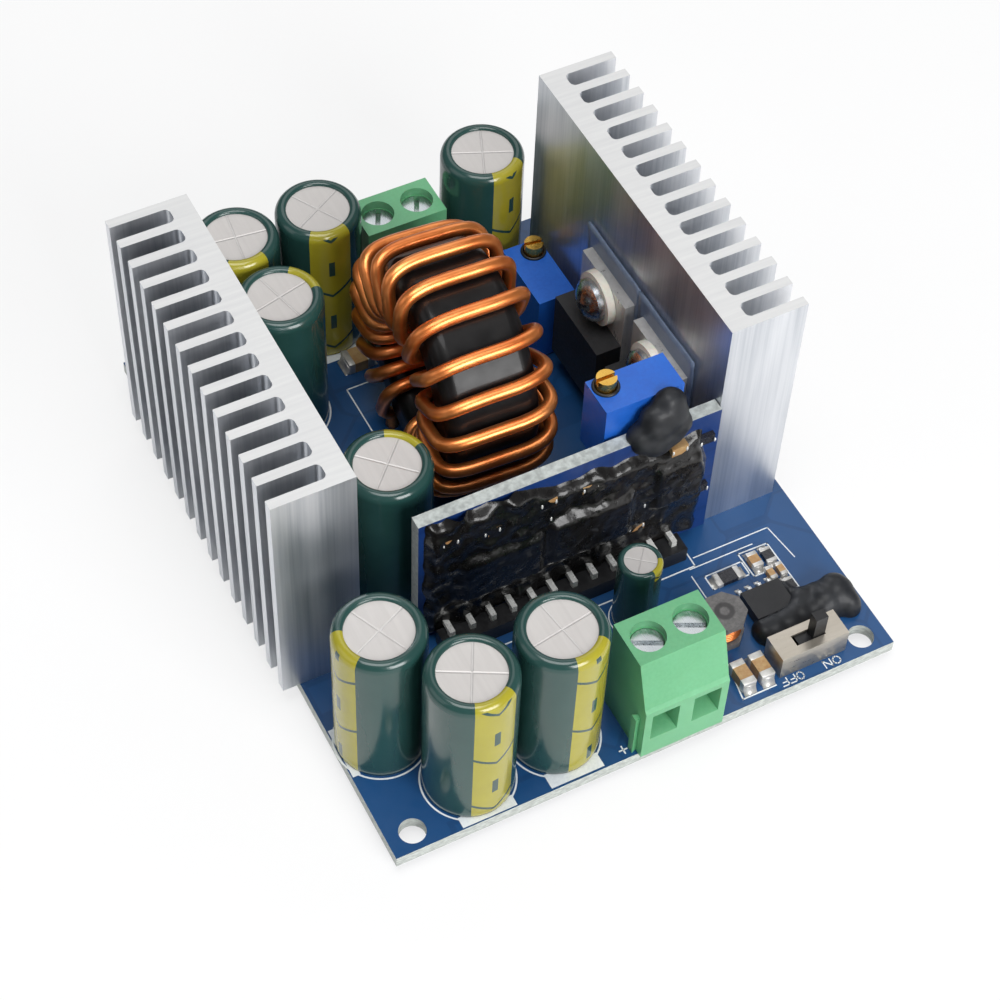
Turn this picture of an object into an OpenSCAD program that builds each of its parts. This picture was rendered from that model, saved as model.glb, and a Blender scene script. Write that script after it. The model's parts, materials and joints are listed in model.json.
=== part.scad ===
// Step-down DC-DC converter module: a circuit board that carries two finned heatsinks,
// a toroidal choke, electrolytic capacitors, screw terminals, trimmers, a vertical
// control board and a slide switch. Millimetres. The origin is the centre of the four
// mounting holes, on the underside of the board. +Z is up and -Y is the input edge.

/* [Circuit board] */
// Room between the rear row and the right heatsink, which widens the board
row_slack = 0.5; // [0.3:0.1:12]
// Room behind the current trimmer, which lengthens the board
trimmer_rear_gap = 1.57; // [1:0.01:12]
// Thickness of the board
board_t = 1.6; // [0.8:0.1:3.2]
// Diameter of the mounting holes
hole_d = 3; // [2:0.1:3.4]
// Distance from the hole centres to the side edges
hole_inset_x = 2.95; // [2.4:0.05:3.4]
// Distance from the hole centres to the front and rear edges
hole_inset_y = 2.25; // [2.1:0.05:3]

/* [Heatsinks] */
// Length of each heatsink along the board's side
sink_l = 43.2; // [43:0.1:45]
// Depth of each heatsink, from its flat face to its fin tips
sink_depth = 9.4; // [7:0.1:10]
// Height of each heatsink
sink_h = 32.6; // [26:0.1:45]
// Thickness of the plate that carries the fins
sink_base = 2.6; // [2.2:0.1:4]
// Number of fins
fin_count = 14; // [8:1:16]
// Thickness of a fin
fin_t = 1.2; // [0.8:0.05:1.6]
// Distance from the board's front edge to the heatsinks
sink_front = 24; // [24:0.1:26]
// How far the left heatsink stands out past the board
left_sink_overhang = 2; // [0:0.1:3]
// Margin between the right heatsink and the board's edge
right_sink_margin = 1.3; // [0:0.1:3]

/* [Large capacitors] */
// Diameter over the sleeve
cap_d = 10; // [8:0.1:10.6]
// Height above the board
cap_h = 20.7; // [12:0.1:32]
// Thickness of the sleeve
sleeve_t = 0.15; // [0.1:0.01:0.3]
// Diameter of the bare disc on top
cap_disc_d = 7.6; // [5:0.1:8]

/* [Small capacitor] */
// Diameter over the sleeve
small_cap_d = 5; // [4:0.1:6]
// Height above the board
small_cap_h = 11; // [5:0.1:15]

/* [Toroidal choke] */
// Outer diameter of the core
core_d = 26.5; // [24:0.1:28]
// Inner diameter of the core
core_bore_d = 14.5; // [13:0.1:16]
// Width of the core along its axis
core_w = 11; // [8:0.1:12]
// Diameter of the winding wire
wire_d = 1.6; // [0.8:0.05:1.7]
// Number of turns
turns = 18; // [6:1:20]

/* [Screw terminals] */
// Distance between the two poles
pole_pitch = 5.08; // [5:0.01:5.4]
// Height of the housing
terminal_h = 14.6; // [14.2:0.1:18]
// Depth of the housing at its foot
terminal_depth = 8; // [7.8:0.1:10]
// Diameter of the clamping screw's thread
clamp_screw_d = 2.5; // [2:0.1:2.6]
// Diameter of the clamping screw's head
clamp_head_d = 3.6; // [3:0.1:3.8]
// Pitch of the clamping screw's thread
clamp_pitch = 0.45; // [0.3:0.05:0.5]

/* [Trimmers] */
// Length of a trimmer's body
trimmer_l = 9.53; // [9:0.01:10]
// Width of a trimmer's body
trimmer_w = 4.83; // [4.5:0.01:5]
// Height of a trimmer's body
trimmer_h = 10.03; // [9:0.01:11]
// Diameter of the adjusting screw
adjuster_d = 2.3; // [1.8:0.05:2.6]

/* [Power transistors] */
// Width of a package
package_w = 10; // [9.6:0.1:10.4]
// How far a pad stands out past each side of its package
pad_margin = 0.9; // [0.2:0.1:1]
// Diameter of the fixing screws' thread
fixing_d = 3; // [2.5:0.1:3.2]

/* [Control board] */
// Height of the upright board
control_h = 20.7; // [18:0.1:26]
// Thickness of the upright board
control_t = 1.6; // [0.8:0.1:2]
// Number of header pins
pin_count = 12; // [11:1:13]
// Pitch of the header pins
pin_pitch = 2.54; // [2:0.01:2.6]

/* [Slide switch] */
// Length of the switch's shell
switch_l = 8.5; // [8:0.1:9]
// Width of the switch's shell
switch_w = 3.4; // [3.2:0.1:3.8]
// Height of the switch's shell
switch_h = 3.5; // [3.2:0.1:4.2]
// Travel of the lever
switch_travel = 2; // [1.5:0.1:2.4]

/* [Clearances] */
// Radial clearance of a screw that turns in its hole
running_fit = 0.08; // [0.03:0.01:0.1]
// Clearance around a piece that slides
slide_fit = 0.1; // [0.05:0.01:0.15]
// Gap between pieces that lie against each other
seat_gap = 0.03; // [0.01:0.01:0.05]

/* [Hidden] */

round_fn = 48;          // true circles
tiny_fn = 24;           // true circles on the smallest pieces
soft_fn = 20;           // facets on the poured sealant
cut = 0.1;              // how far a cutting shape runs past the face it cuts

// ---- Places on the board, measured from its front left corner ----

left_face = sink_depth - left_sink_overhang;
sink_back = sink_front + sink_l;
fin_pitch = (sink_l - fin_t) / (fin_count - 1);
slot_w = fin_pitch - fin_t;
cap_r = cap_d / 2;
housing_w = 2 * pole_pitch;

// The rear row sets the room between the heatsinks, and so the width of the board
row_end_gap = 1.2;
row_gap = 0.3;
rib_t = 0.6;            // dovetail on a terminal's side
rib_gap = 0.24;
output_1_x = left_face + row_end_gap + cap_r;
output_2_x = output_1_x + cap_d + row_gap;
output_terminal_x = output_2_x + cap_r + row_gap;
output_3_x = output_terminal_x + housing_w + rib_t + rib_gap + cap_r;
right_face = output_3_x + cap_r + row_slack;
board_w = right_face + sink_depth + right_sink_margin;

// The column along the right heatsink sets the depth of the board
package_setback = 6.3;
pad_gap = 0.1;
package_pitch = package_w + 2 * pad_margin + pad_gap;
package_1 = sink_front + package_setback + package_w / 2;
package_2 = package_1 + package_pitch;
trimmer_front_gap = 1.6;
current_y = package_2 + package_w / 2 + trimmer_front_gap + trimmer_l / 2;
trimmer_setback = 3.5;
current_x = right_face - trimmer_setback;
output_row_y = current_y + trimmer_l / 2 + trimmer_rear_gap + cap_r;
rear_edge_gap = 0.1;
board_d = output_row_y + cap_r + rear_edge_gap;
terminal_overhang = 0.5;
output_rise = 1.1;      // the output terminal stands on its pins

output_1 = [output_1_x, output_row_y];
output_2 = [output_2_x, output_row_y];
output_3 = [output_3_x, output_row_y];
output_4_side_gap = 2;
output_4_gap = 0.5;
output_4 = [left_face + output_4_side_gap + cap_r, output_row_y - cap_d - output_4_gap];
middle_side_gap = 2.5;
middle_setback = 3.8;
middle_cap = [left_face + middle_side_gap + cap_r, sink_front + middle_setback + cap_r];
rectifier_setback = 17;
rectifier_y = sink_front + rectifier_setback + package_w / 2;

// The input group starts beside the front left mounting hole
cap_side_gap = 0.55;
hole_clearance = 1.6;
input_angle = 125.4;
front_gap_2 = 0.4;
front_gap_3 = 1;
input_2 = [hole_inset_x + hole_d / 2 + hole_clearance + cap_r, cap_r + front_gap_2];
input_1 = input_2 + (cap_d + cap_side_gap) * [cos(input_angle), sin(input_angle)];
input_3 = [input_2[0] + cap_d + cap_side_gap, cap_r + front_gap_3];
terminal_gap = 1.55;
input_terminal_x = input_3[0] + cap_r + terminal_gap + rib_t;

// The control board stands just ahead of the heatsinks, over its header
control_side_gap = 0.1;
control_lead = 0.5;
header_inset = 4.4;
header_end = 1.72;
header_reach = 2.3;
strip_w = 2.5;
strip_h = 2.2;
header_w = pin_count * pin_pitch;
control_y = sink_front - control_lead;
control_right = right_face - control_side_gap;
header_right = control_right - header_inset;
control_left = header_right - header_w - header_end;
control_w = control_right - control_left;
header_y = control_y - header_reach;
small_cap_gap = 1.75;
small_cap_inset = 1.96;
small_cap = [input_terminal_x + housing_w - small_cap_inset,
             header_y - strip_w / 2 - small_cap_gap - small_cap_d / 2];

// The switch stands beside the front right mounting hole
switch_hole_gap = 1.05;
switch_x = board_w - hole_inset_x - hole_d / 2 - switch_hole_gap - switch_l / 2;
switch_y = 3.2;

// ---- Sizes derived for each kind of piece ----

can_r = cap_r - sleeve_t;
small_can_r = small_cap_d / 2 - sleeve_t;

wire_gap = 0.15;
core_round = 1.8;
side_gap = 0.3;         // the turns bulge off the core's flat sides
turn_out = core_d / 2 + wire_gap + wire_d / 2;
turn_in = core_bore_d / 2 - wire_gap - wire_d / 2;
turn_side = core_w / 2 + side_gap + wire_d / 2;
toroid_z = turn_out + wire_d / 2 + seat_gap;
toroid_shift = 0.7;
toroid_yaw = -4;         // seen from above
toroid_setback = 8;
toroid_x = (left_face + right_face) / 2 + toroid_shift;
toroid_y = sink_front + toroid_setback + turn_out + wire_d / 2;

tab_t = 1.3;
pad_t = 0.25;
package_t = 4.5;
package_body_h = 9.2;
tab_rise = 6.4;
package_z = 3.2;
tab_hole_drop = 2.8;
tab_hole_z = package_z + package_body_h + tab_rise - tab_hole_drop;
bush_flange_d = 6.6;
bush_flange_t = 1;
bush_wall = 0.35;
fixing_depth = 2;
fixing_head_d = 5.2;
fixing_head_h = 2;
fixing_dome_r = 3.3;
leg_pitch = 2.54;
trimmer_pin_pitch = 2.54;
switch_pin_pitch = 2.5;
leg_from_back = 2.7;

tip_r = 0.38;           // lead tip below the board
tip_h = 1.3;
fillet_r = 1;           // solder cone round the lead
fillet_h = 0.8;

// ---- Helpers ----

// Puts its children on top of the board, at x and y from the front left corner
module on_board(x, y, z = 0)
    translate([x - board_w / 2, y - board_d / 2, board_t + z]) children();

// A box that is centred in x and y and stands on z = 0
module block(size) translate([-size[0] / 2, -size[1] / 2, 0]) cube(size);

// A disc or rod on z = 0
module rod(r, h, fn = round_fn) cylinder(r = r, h = h, $fn = fn);

// ---- Circuit board ----

module circuit_board() color("midnightblue") difference() {
    translate([-board_w / 2, -board_d / 2, 0]) cube([board_w, board_d, board_t]);
    for (sx = [-1, 1], sy = [-1, 1])
        translate([sx * (board_w / 2 - hole_inset_x), sy * (board_d / 2 - hole_inset_y), -cut])
            rod(hole_d / 2, board_t + 2 * cut);
}

// Where each lead comes through the board
function cap_leads(p, pitch) = [for (s = [-1, 1]) p + [s * pitch / 2, 0]];
function leg_places(x, y) = [for (i = [-1:1]) [x, y + i * leg_pitch]];
function header_places() =
    [for (i = [0:pin_count - 1]) [header_right - (i + 0.5) * pin_pitch, header_y]];
function terminal_places(x, y) =
    [for (i = [0, 1]) [x + housing_w / 2 + (i - 0.5) * pole_pitch, y]];
peg_inset = 5;
function sink_places(x) = [for (y = [sink_front + peg_inset, sink_back - peg_inset]) [x, y]];

function lead_places() = concat(
    [for (p = [input_1, input_2, input_3, middle_cap, output_1, output_2, output_3, output_4])
        each cap_leads(p, cap_d / 2)],
    cap_leads(small_cap, small_cap_d * 0.4),
    leg_places(right_face - pad_t - leg_from_back, package_1),
    leg_places(right_face - pad_t - leg_from_back, package_2),
    leg_places(left_face + pad_t + leg_from_back, rectifier_y),
    header_places(),
    terminal_places(input_terminal_x, contact_y()),
    terminal_places(output_terminal_x, board_d - contact_y()),
    [for (i = [-1:1]) [current_x, current_y + i * trimmer_pin_pitch]],
    [for (i = [-1:1]) [switch_x + i * switch_pin_pitch, switch_y]],
    sink_places(left_face - sink_base / 2),
    sink_places(right_face + sink_base / 2),
    winding_leads()
);

module solder_joint() rotate_extrude($fn = tiny_fn)
    polygon([[0, 0], [fillet_r, 0], [tip_r, -fillet_h], [tip_r, -tip_h], [0, -tip_h]]);

module solder_joints() color("silver")
    for (p = lead_places()) on_board(p[0], p[1], -board_t) solder_joint();

// ---- Heatsinks: an extruded comb, fins towards +X, flat face at x = 0 ----

slot_round = 0.65;      // fillet at the foot of a fin
module fin_slot() {
    translate([slot_round, 0]) square([sink_depth, slot_w]);
    translate([0, slot_round]) square([sink_depth, slot_w - 2 * slot_round]);
    for (y = [slot_round, slot_w - slot_round])
        translate([slot_round, y]) circle(slot_round, $fn = tiny_fn);
}
module sink_profile() difference() {
    square([sink_depth, sink_l]);
    for (i = [0:fin_count - 2]) translate([sink_base, fin_t + i * fin_pitch]) fin_slot();
}

module tapped_hole(y) translate([-cut, y - sink_front, tab_hole_z])
    rotate([0, 90, 0]) rod(fixing_d / 2 + seat_gap, fixing_depth + 2 * cut);

module heatsink_right() color("gainsboro") on_board(right_face, sink_front) difference() {
    linear_extrude(sink_h) sink_profile();
    tapped_hole(package_1);
    tapped_hole(package_2);
}

module heatsink_left() color("gainsboro") on_board(left_face, sink_front)
    mirror([1, 0, 0]) difference() {
        linear_extrude(sink_h) sink_profile();
        tapped_hole(rectifier_y);
    }

// ---- Electrolytic capacitors ----

// Half section of a can: domed shoulder, and the bead that grips the rubber bung
module can_section(r, h, shoulder) difference() {
    union() {
        square([r, h - shoulder]);
        square([r - shoulder, h]);
        translate([r - shoulder, h - shoulder]) circle(shoulder, $fn = round_fn);
    }
    translate([r + 0.35, 2.3]) circle(0.8, $fn = tiny_fn);
    translate([-r, -cut]) square([r, h + 2 * cut]);
}

module can(r, h) color("lightgrey") difference() {
    rotate_extrude($fn = round_fn) can_section(r, h, r * 0.16);
    for (a = [0, 90]) rotate([0, 0, a])                                   // safety vent
        translate([0, 0, h - 0.15]) block([r * 1.3, 0.25, 1]);
}

// The shrunk sleeve follows the can, and its lip lies on the shoulder
module sleeve(r, h, disc_r) color("darkslategrey") rotate_extrude($fn = round_fn) difference() {
    can_section(r, h, r * 0.17);
    can_section(r - sleeve_t, h - sleeve_t, r * 0.16);
    square([disc_r, h + cut]);
    translate([0, -cut]) square([r - sleeve_t, 2 * cut]);
}

module big_can(p) on_board(p[0], p[1]) can(can_r - seat_gap, cap_h - sleeve_t - seat_gap);
module big_sleeve(p) on_board(p[0], p[1]) sleeve(cap_r, cap_h, cap_disc_d / 2);
module small_can() on_board(small_cap[0], small_cap[1])
    can(small_can_r - seat_gap, small_cap_h - sleeve_t - seat_gap);
module small_sleeve() on_board(small_cap[0], small_cap[1])
    sleeve(small_cap_d / 2, small_cap_h, small_cap_d * 0.37);

// ---- Toroidal choke, standing on edge with its axis along X ----

module toroid_core() color("dimgrey") at_toroid()
    rotate([0, 90, 0]) rotate_extrude($fn = 64)
        translate([core_bore_d / 2, -core_w / 2]) {
            translate([core_round, 0])
                square([(core_d - core_bore_d) / 2 - 2 * core_round, core_w]);
            translate([0, core_round])
                square([(core_d - core_bore_d) / 2, core_w - 2 * core_round]);
            for (i = [0, 1], j = [0, 1])
                translate([core_round + i * ((core_d - core_bore_d) / 2 - 2 * core_round),
                           core_round + j * (core_w - 2 * core_round)])
                    circle(core_round, $fn = tiny_fn);
        }

// One turn in the half plane [distance from the axis, x], four points to a corner
turn_round = core_round + wire_gap + wire_d / 2;
corner_steps = 4;
turn_steps = 4 * corner_steps;
function turn_corner(c) = [
    (c == 0 || c == 3) ? turn_out - turn_round : turn_in + turn_round,
    (c < 2 ? 1 : -1) * (turn_side - turn_round)
];
function turn_point(k) =
    let (c = floor(k / corner_steps), a = c * 90 + (k % corner_steps) * 90 / (corner_steps - 1))
    turn_corner(c) + turn_round * [cos(a), sin(a)];

winding_gap = 32;       // bare part of the core at its foot, in degrees
winding_phase = 4;      // how far the winding is turned round the core, in degrees
turn_angle = (360 - winding_gap) / turns;
first_angle = -90 + winding_gap / 2 + winding_phase;
function around(q, a) = [-q[1], q[0] * cos(a), q[0] * sin(a)];
function wire_point(i) =
    around(turn_point(i % turn_steps), first_angle + i * turn_angle / turn_steps);
wire_steps = turns * turn_steps;
foot_z = -toroid_z + seat_gap;
function foot(i) = [wire_point(i)[0], wire_point(i)[1], foot_z];
wire_route = concat(
    [foot(1)],
    [for (i = [1:wire_steps - 2]) wire_point(i)],
    [foot(wire_steps - 2)]
);
function winding_leads() = [for (i = [1, wire_steps - 2])
    [toroid_x + foot(i)[0] * cos(toroid_yaw) - foot(i)[1] * sin(toroid_yaw),
     toroid_y + foot(i)[0] * sin(toroid_yaw) + foot(i)[1] * cos(toroid_yaw)]];
module at_toroid() on_board(toroid_x, toroid_y, toroid_z) rotate([0, 0, toroid_yaw]) children();

// A round wire swept along a route; "across" is the direction that stays square to it
function unit(v) = v / norm(v);
function across(p) = unit([0, -p[2], p[1]]);
function ring(route, i, r, sides) =
    let (
        last = len(route) - 1,
        t = unit(route[min(i + 1, last)] - route[max(i - 1, 0)]),
        b = unit(across(route[i]) - (across(route[i]) * t) * t),
        n = cross(b, t)
    )
    [for (s = [0:sides - 1]) route[i] + r * (cos(360 * s / sides) * n + sin(360 * s / sides) * b)];

module swept_wire(route, r, sides = 8) {
    rings = len(route);
    polyhedron(
        points = [for (i = [0:rings - 1]) each ring(route, i, r, sides)],
        faces = concat(
            [[for (s = [0:sides - 1]) s]],
            [for (i = [0:rings - 2], s = [0:sides - 1]) each [
                [i * sides + s, (i + 1) * sides + s, i * sides + (s + 1) % sides],
                [i * sides + (s + 1) % sides, (i + 1) * sides + s,
                 (i + 1) * sides + (s + 1) % sides]
            ]],
            [[for (s = [sides - 1:-1:0]) (rings - 1) * sides + s]]
        )
    );
}

module toroid_winding() color("chocolate") at_toroid()
    swept_wire(wire_route, wire_d / 2);

// ---- Screw terminals, with the wire side towards -Y and the foot's left corner at 0 ----

top_front = 2.25;       // the top starts this far behind the foot's front
lip_z = 8.2;
lip_rise = 0.5;
screw_y = (terminal_depth + top_front) / 2;
function contact_y() = terminal_depth - terminal_overhang - 1.6;

cage_wall = 0.5;
cage_w = 3.6;
cage_l = 3.6;
cage_floor = 0.7;
cage_opening = 3.8;
cage_roof = 1.1;
cage_h = cage_floor + cage_opening + cage_roof;
clamp_turns = 5;
cage_travel = clamp_turns * clamp_pitch;
bar_t = 0.5;
bar_w = 2;
bar_gap = 0.2;
ledge_t = 1.5;
head_h = 1.4;
head_drop = 1.25;       // from the top of the housing to the screw's head
head_z = terminal_h - head_drop - head_h;
cavity_top = head_z - ledge_t;
cage_z = cavity_top - bar_gap - cage_travel - cage_h;    // open, with the cage down
bar_z = cage_z + cage_floor + cage_opening - bar_t - bar_gap;
well_d = clamp_head_d + 0.3;
entry_w = 3.3;
entry_z = cage_z + cage_floor + 0.5;
entry_h = 3.8;

module housing_profile() polygon([
    [0, 0], [terminal_depth, 0], [terminal_depth, terminal_h],
    [top_front, terminal_h], [0.35, lip_z + lip_rise], [0, lip_z], [0, 0]
]);

module wire_entry() hull() {
    translate([-entry_w / 2, -cut, entry_z - 0.6]) cube([entry_w, cut, entry_h + 0.6]);
    translate([-cage_w / 2 + cage_wall, 1.2, entry_z])
        cube([cage_w - 2 * cage_wall, 1, entry_h - 0.6]);
}

module pole_cavity() {
    translate([0, screw_y, -cut])
        block([cage_w + 2 * slide_fit, cage_l + 2 * slide_fit, cavity_top + cut]);
    translate([-cage_w / 2 + cage_wall, 2, entry_z])
        cube([cage_w - 2 * cage_wall, screw_y - 2, entry_h - 0.6]);
    translate([0, screw_y, 0]) rod(clamp_screw_d / 2 + running_fit, terminal_h);
    translate([0, screw_y, head_z - seat_gap]) rod(clamp_head_d / 2 + running_fit, terminal_h);
    translate([0, screw_y, head_z + head_h + 0.1]) rod(well_d / 2, terminal_h);
    wire_entry();
    translate([-bar_w / 2 - seat_gap, screw_y, -cut])
        cube([bar_w + 2 * seat_gap, contact_back - screw_y + seat_gap, bar_z + bar_t + cut + seat_gap]);
}

contact_back = terminal_depth - 0.5;

rib_y = 1.3;
rib_l = 0.9;
rib_h = 6.4;
groove_gap = 0.1;
module dovetail(x, grow) translate([x, rib_y, 0]) linear_extrude(rib_h) polygon([
    [0, -rib_l / 4 - grow], [rib_t + grow, -rib_l / 2 - grow],
    [rib_t + grow, rib_l / 2 + grow], [0, rib_l / 4 + grow]
]);

module terminal_housing() color("mediumseagreen") difference() {
    union() {
        rotate([90, 0, 90]) linear_extrude(housing_w) housing_profile();
        mirror([1, 0, 0]) dovetail(0, 0);
    }
    mirror([1, 0, 0]) translate([-housing_w - cut / 2, 0, -cut]) dovetail(0, groove_gap);
    for (i = [0, 1]) translate([(i + 0.5) * pole_pitch, 0, 0]) pole_cavity();
}

// The input block looks forwards and the output block backwards
module at_input() on_board(input_terminal_x, -terminal_overhang) children();
module at_output()
    on_board(output_terminal_x + housing_w, board_d + terminal_overhang, output_rise)
        rotate([0, 0, 180]) children();

// A bar under the screw, and a pin from it down to the board
module contact(reach) {
    translate([-bar_w / 2, screw_y - cage_l / 2, bar_z])
        cube([bar_w, contact_back - screw_y + cage_l / 2, bar_t]);
    translate([-bar_w / 2, contact_back - bar_t, -reach])
        cube([bar_w, bar_t, bar_z + bar_t + reach]);
}

module terminal_contacts() color("lightgrey") for (i = [0, 1]) {
    at_input() at_pole(i) contact(0);
    at_output() at_pole(i) contact(output_rise);
}

// The screws' slots, and how far round each stands
screw_slot_depth = 0.7;
input_slot_turn = -26;
output_slot_turn = 63;
current_slot_turn = 80;
module clamp_screw(turn) color("silver") translate([0, screw_y, 0]) difference() {
    union() {
        translate([0, 0, head_z]) rod(clamp_head_d / 2, head_h);
        translate([0, 0, bar_z + bar_t + 0.1])
            rod(clamp_screw_d / 2, head_z - bar_z - bar_t);
    }
    translate([0, 0, head_z + head_h - screw_slot_depth]) rotate([0, 0, turn])
        block([clamp_head_d + 1, 0.6, 1]);
}

module cage() color("lightgrey") translate([0, screw_y, cage_z]) difference() {
    block([cage_w, cage_l, cage_h]);
    translate([0, 0, cage_floor])
        block([cage_w - 2 * cage_wall, cage_l + 2 * cut, cage_opening]);
    translate([0, 0, cage_h / 2]) rod(clamp_screw_d / 2 + running_fit, cage_h);
}

module at_pole(i) translate([(i + 0.5) * pole_pitch, 0, 0]) children();

// ---- Trimmers: body along X, standing on z = 0, the adjuster near its left end ----

adjuster_inset = 1.7;
adjuster_side = 0.9;    // the adjuster stands off the body's middle line
adjuster_h = 1.5;
adjuster_depth = 4;
foot_h = 0.3;
pin_r = 0.3;

module trimmer_block() difference() {
    translate([0, 0, foot_h]) block([trimmer_l, trimmer_w, trimmer_h - foot_h]);
    translate([adjuster_inset - trimmer_l / 2, adjuster_side, trimmer_h - adjuster_depth])
        rod(adjuster_d / 2 + running_fit, adjuster_depth + cut, tiny_fn);
}

module trimmer_screw(turn) color("goldenrod")
    translate([adjuster_inset - trimmer_l / 2, adjuster_side,
               trimmer_h - adjuster_depth + seat_gap])
        difference() {
            rod(adjuster_d / 2, adjuster_depth + adjuster_h, tiny_fn);
            translate([0, 0, adjuster_depth + adjuster_h - screw_slot_depth])
                rotate([0, 0, turn])
                block([adjuster_d + 1, 0.45, 1]);
        }

// The voltage trimmer stands against the back of the control board on its leads
voltage_inset = 3.9;
voltage_rise = 4.13;
voltage_standoff = 0.5;
voltage_pin_z = 2.4;
voltage_x = control_right - voltage_inset - trimmer_l / 2;
voltage_z = control_h + voltage_rise - trimmer_h;
module at_voltage()
    on_board(voltage_x, control_y + control_t + voltage_standoff + trimmer_w / 2, voltage_z)
        children();
module at_current() on_board(current_x, current_y) rotate([0, 0, -90]) children();

module voltage_trimmer_body() color("royalblue") at_voltage() {
    trimmer_block();
    for (i = [-1:1]) translate([i * trimmer_pin_pitch, -trimmer_w / 2, voltage_pin_z])
        rotate([90, 0, 0]) rod(pin_r, voltage_standoff, tiny_fn);
}
module current_trimmer_body() color("royalblue") at_current() {
    trimmer_block();
    for (i = [-1:1]) translate([i * trimmer_pin_pitch, 0, 0]) rod(pin_r, foot_h, tiny_fn);
}

// ---- Power transistors: back of the tab at x = 0, package towards -X ----

module package_body() color("dimgrey") translate([-package_t, -package_w / 2, package_z])
    cube([package_t - tab_t, package_w, package_body_h]);

module package_metal() {
    difference() {
        translate([-tab_t, -package_w / 2, package_z])
            cube([tab_t, package_w, package_body_h + tab_rise]);
        translate([-tab_t - cut, 0, tab_hole_z]) rotate([0, 90, 0])
            rod(fixing_d / 2 + bush_wall + 2 * seat_gap, tab_t + 2 * cut);
    }
    for (i = [-1:1]) translate([-leg_from_back, i * leg_pitch, 0]) {
        block([0.5, 0.8, package_z]);
        translate([0, 0, 2.6]) block([0.5, 1.3, package_z - 2.6]);
    }
}

pad_drop = 1.2;         // how far a pad reaches below its package
pad_rise = 3.4;         // how far a pad stands out above the tab
module pad() difference() {
    translate([0, -package_w / 2 - pad_margin, package_z - pad_drop])
        cube([pad_t, package_w + 2 * pad_margin, package_body_h + tab_rise + pad_drop + pad_rise]);
    translate([-cut, 0, tab_hole_z]) rotate([0, 90, 0])
        rod(fixing_d / 2 + 2 * seat_gap, pad_t + 2 * cut);
}

// A flanged bush keeps the fixing screw off the tab
module bush() translate([-tab_t, 0, tab_hole_z]) rotate([0, -90, 0]) difference() {
    union() {
        translate([0, 0, seat_gap]) rod(bush_flange_d / 2, bush_flange_t);
        translate([0, 0, -tab_t + seat_gap]) rod(fixing_d / 2 + bush_wall, tab_t + seat_gap);
    }
    translate([0, 0, -2 * tab_t]) rod(fixing_d / 2 + seat_gap, 3 * tab_t + bush_flange_t);
}

module fixing_screw() translate([-tab_t - bush_flange_t - 2 * seat_gap, 0, tab_hole_z])
    rotate([0, -90, 0]) difference() {
        union() {
            rotate_extrude($fn = round_fn) intersection() {
                square([fixing_head_d / 2, fixing_head_h]);
                translate([0, fixing_head_h - fixing_dome_r])
                    circle(fixing_dome_r, $fn = round_fn);
            }
            mirror([0, 0, 1]) rod(fixing_d / 2,
                tab_t + bush_flange_t + pad_t + fixing_depth);
        }
        for (a = [0, 90]) rotate([0, 0, a + 20])
            translate([0, 0, fixing_head_h - 1.1]) block([3.4, 0.75, 2]);
    }

module at_right(y) on_board(right_face - pad_t - seat_gap, y) children();
module at_left() on_board(left_face + pad_t + seat_gap, rectifier_y)
    mirror([1, 0, 0]) children();
module each_package() {
    at_right(package_1) children();
    at_right(package_2) children();
    at_left() children();
}

module transistor_tabs() color("silver") each_package() package_metal();
module insulating_pads() color("lightsteelblue") each_package() pad();
module insulating_bushes() color("ivory") each_package() bush();
module fixing_screws() color("silver") each_package() fixing_screw();

// ---- Control board and its header ----

pin_w = 0.64;
pin_z = strip_h + 0.3;

module control_board() color("darkblue")
    on_board(control_left, control_y) cube([control_w, control_t, control_h]);

module header_strip() color("black") on_board(header_right - header_w, header_y - strip_w / 2)
    difference() {
        cube([header_w, strip_w, strip_h]);
        for (i = [0:pin_count - 1])
            translate([(i + 0.5) * pin_pitch, strip_w / 2, -cut])
                block([pin_w + 2 * seat_gap, pin_w + 2 * seat_gap, strip_h + 2 * cut]);
    }

module header_pins() color("silver")
    for (p = header_places()) on_board(p[0], p[1]) {
        block([pin_w, pin_w, pin_z + pin_w]);
        translate([-pin_w / 2, 0, pin_z]) cube([pin_w, control_y - header_y, pin_w]);
    }

// ---- Small choke: octagonal drum with its winding between the flanges ----

drum_d = 5.2;
drum_h = 4.4;
flange_t = 0.9;
drum_post_r = 1.4;
drum_coil_r = 2.2;
drum_place = [switch_x - 7.05, switch_y + 6.3];
module octagon(h) rotate([0, 0, 22.5]) cylinder(d = drum_d, h = h, $fn = 8);
module choke_drum() color("dimgrey") on_board(drum_place[0], drum_place[1]) {
    octagon(flange_t);
    rod(drum_post_r, drum_h);
    translate([0, 0, drum_h - flange_t]) octagon(flange_t);
}
module choke_drum_winding() color("chocolate")
    on_board(drum_place[0], drum_place[1], flange_t + seat_gap) difference() {
        rod(drum_coil_r, drum_h - 2 * (flange_t + seat_gap));
        translate([0, 0, -cut]) rod(drum_post_r + seat_gap, drum_h);
    }

// ---- Small parts: packages with gull-wing legs, and chips ----

module small_outline(l, w, h, legs) {
    translate([0, 0, 0.15]) block([l, w, h]);
    for (i = [0:legs - 1], s = [-1, 1])
        translate([(i - (legs - 1) / 2) * 1.27, s * (w / 2 + 0.5), 0]) block([0.42, 1, 0.5]);
}

// Stands its children on the front of the control board, x and z from its lower left corner
module on_control(p) on_board(control_left + p[0], control_y, p[1]) rotate([90, 0, 0])
    children();

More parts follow.
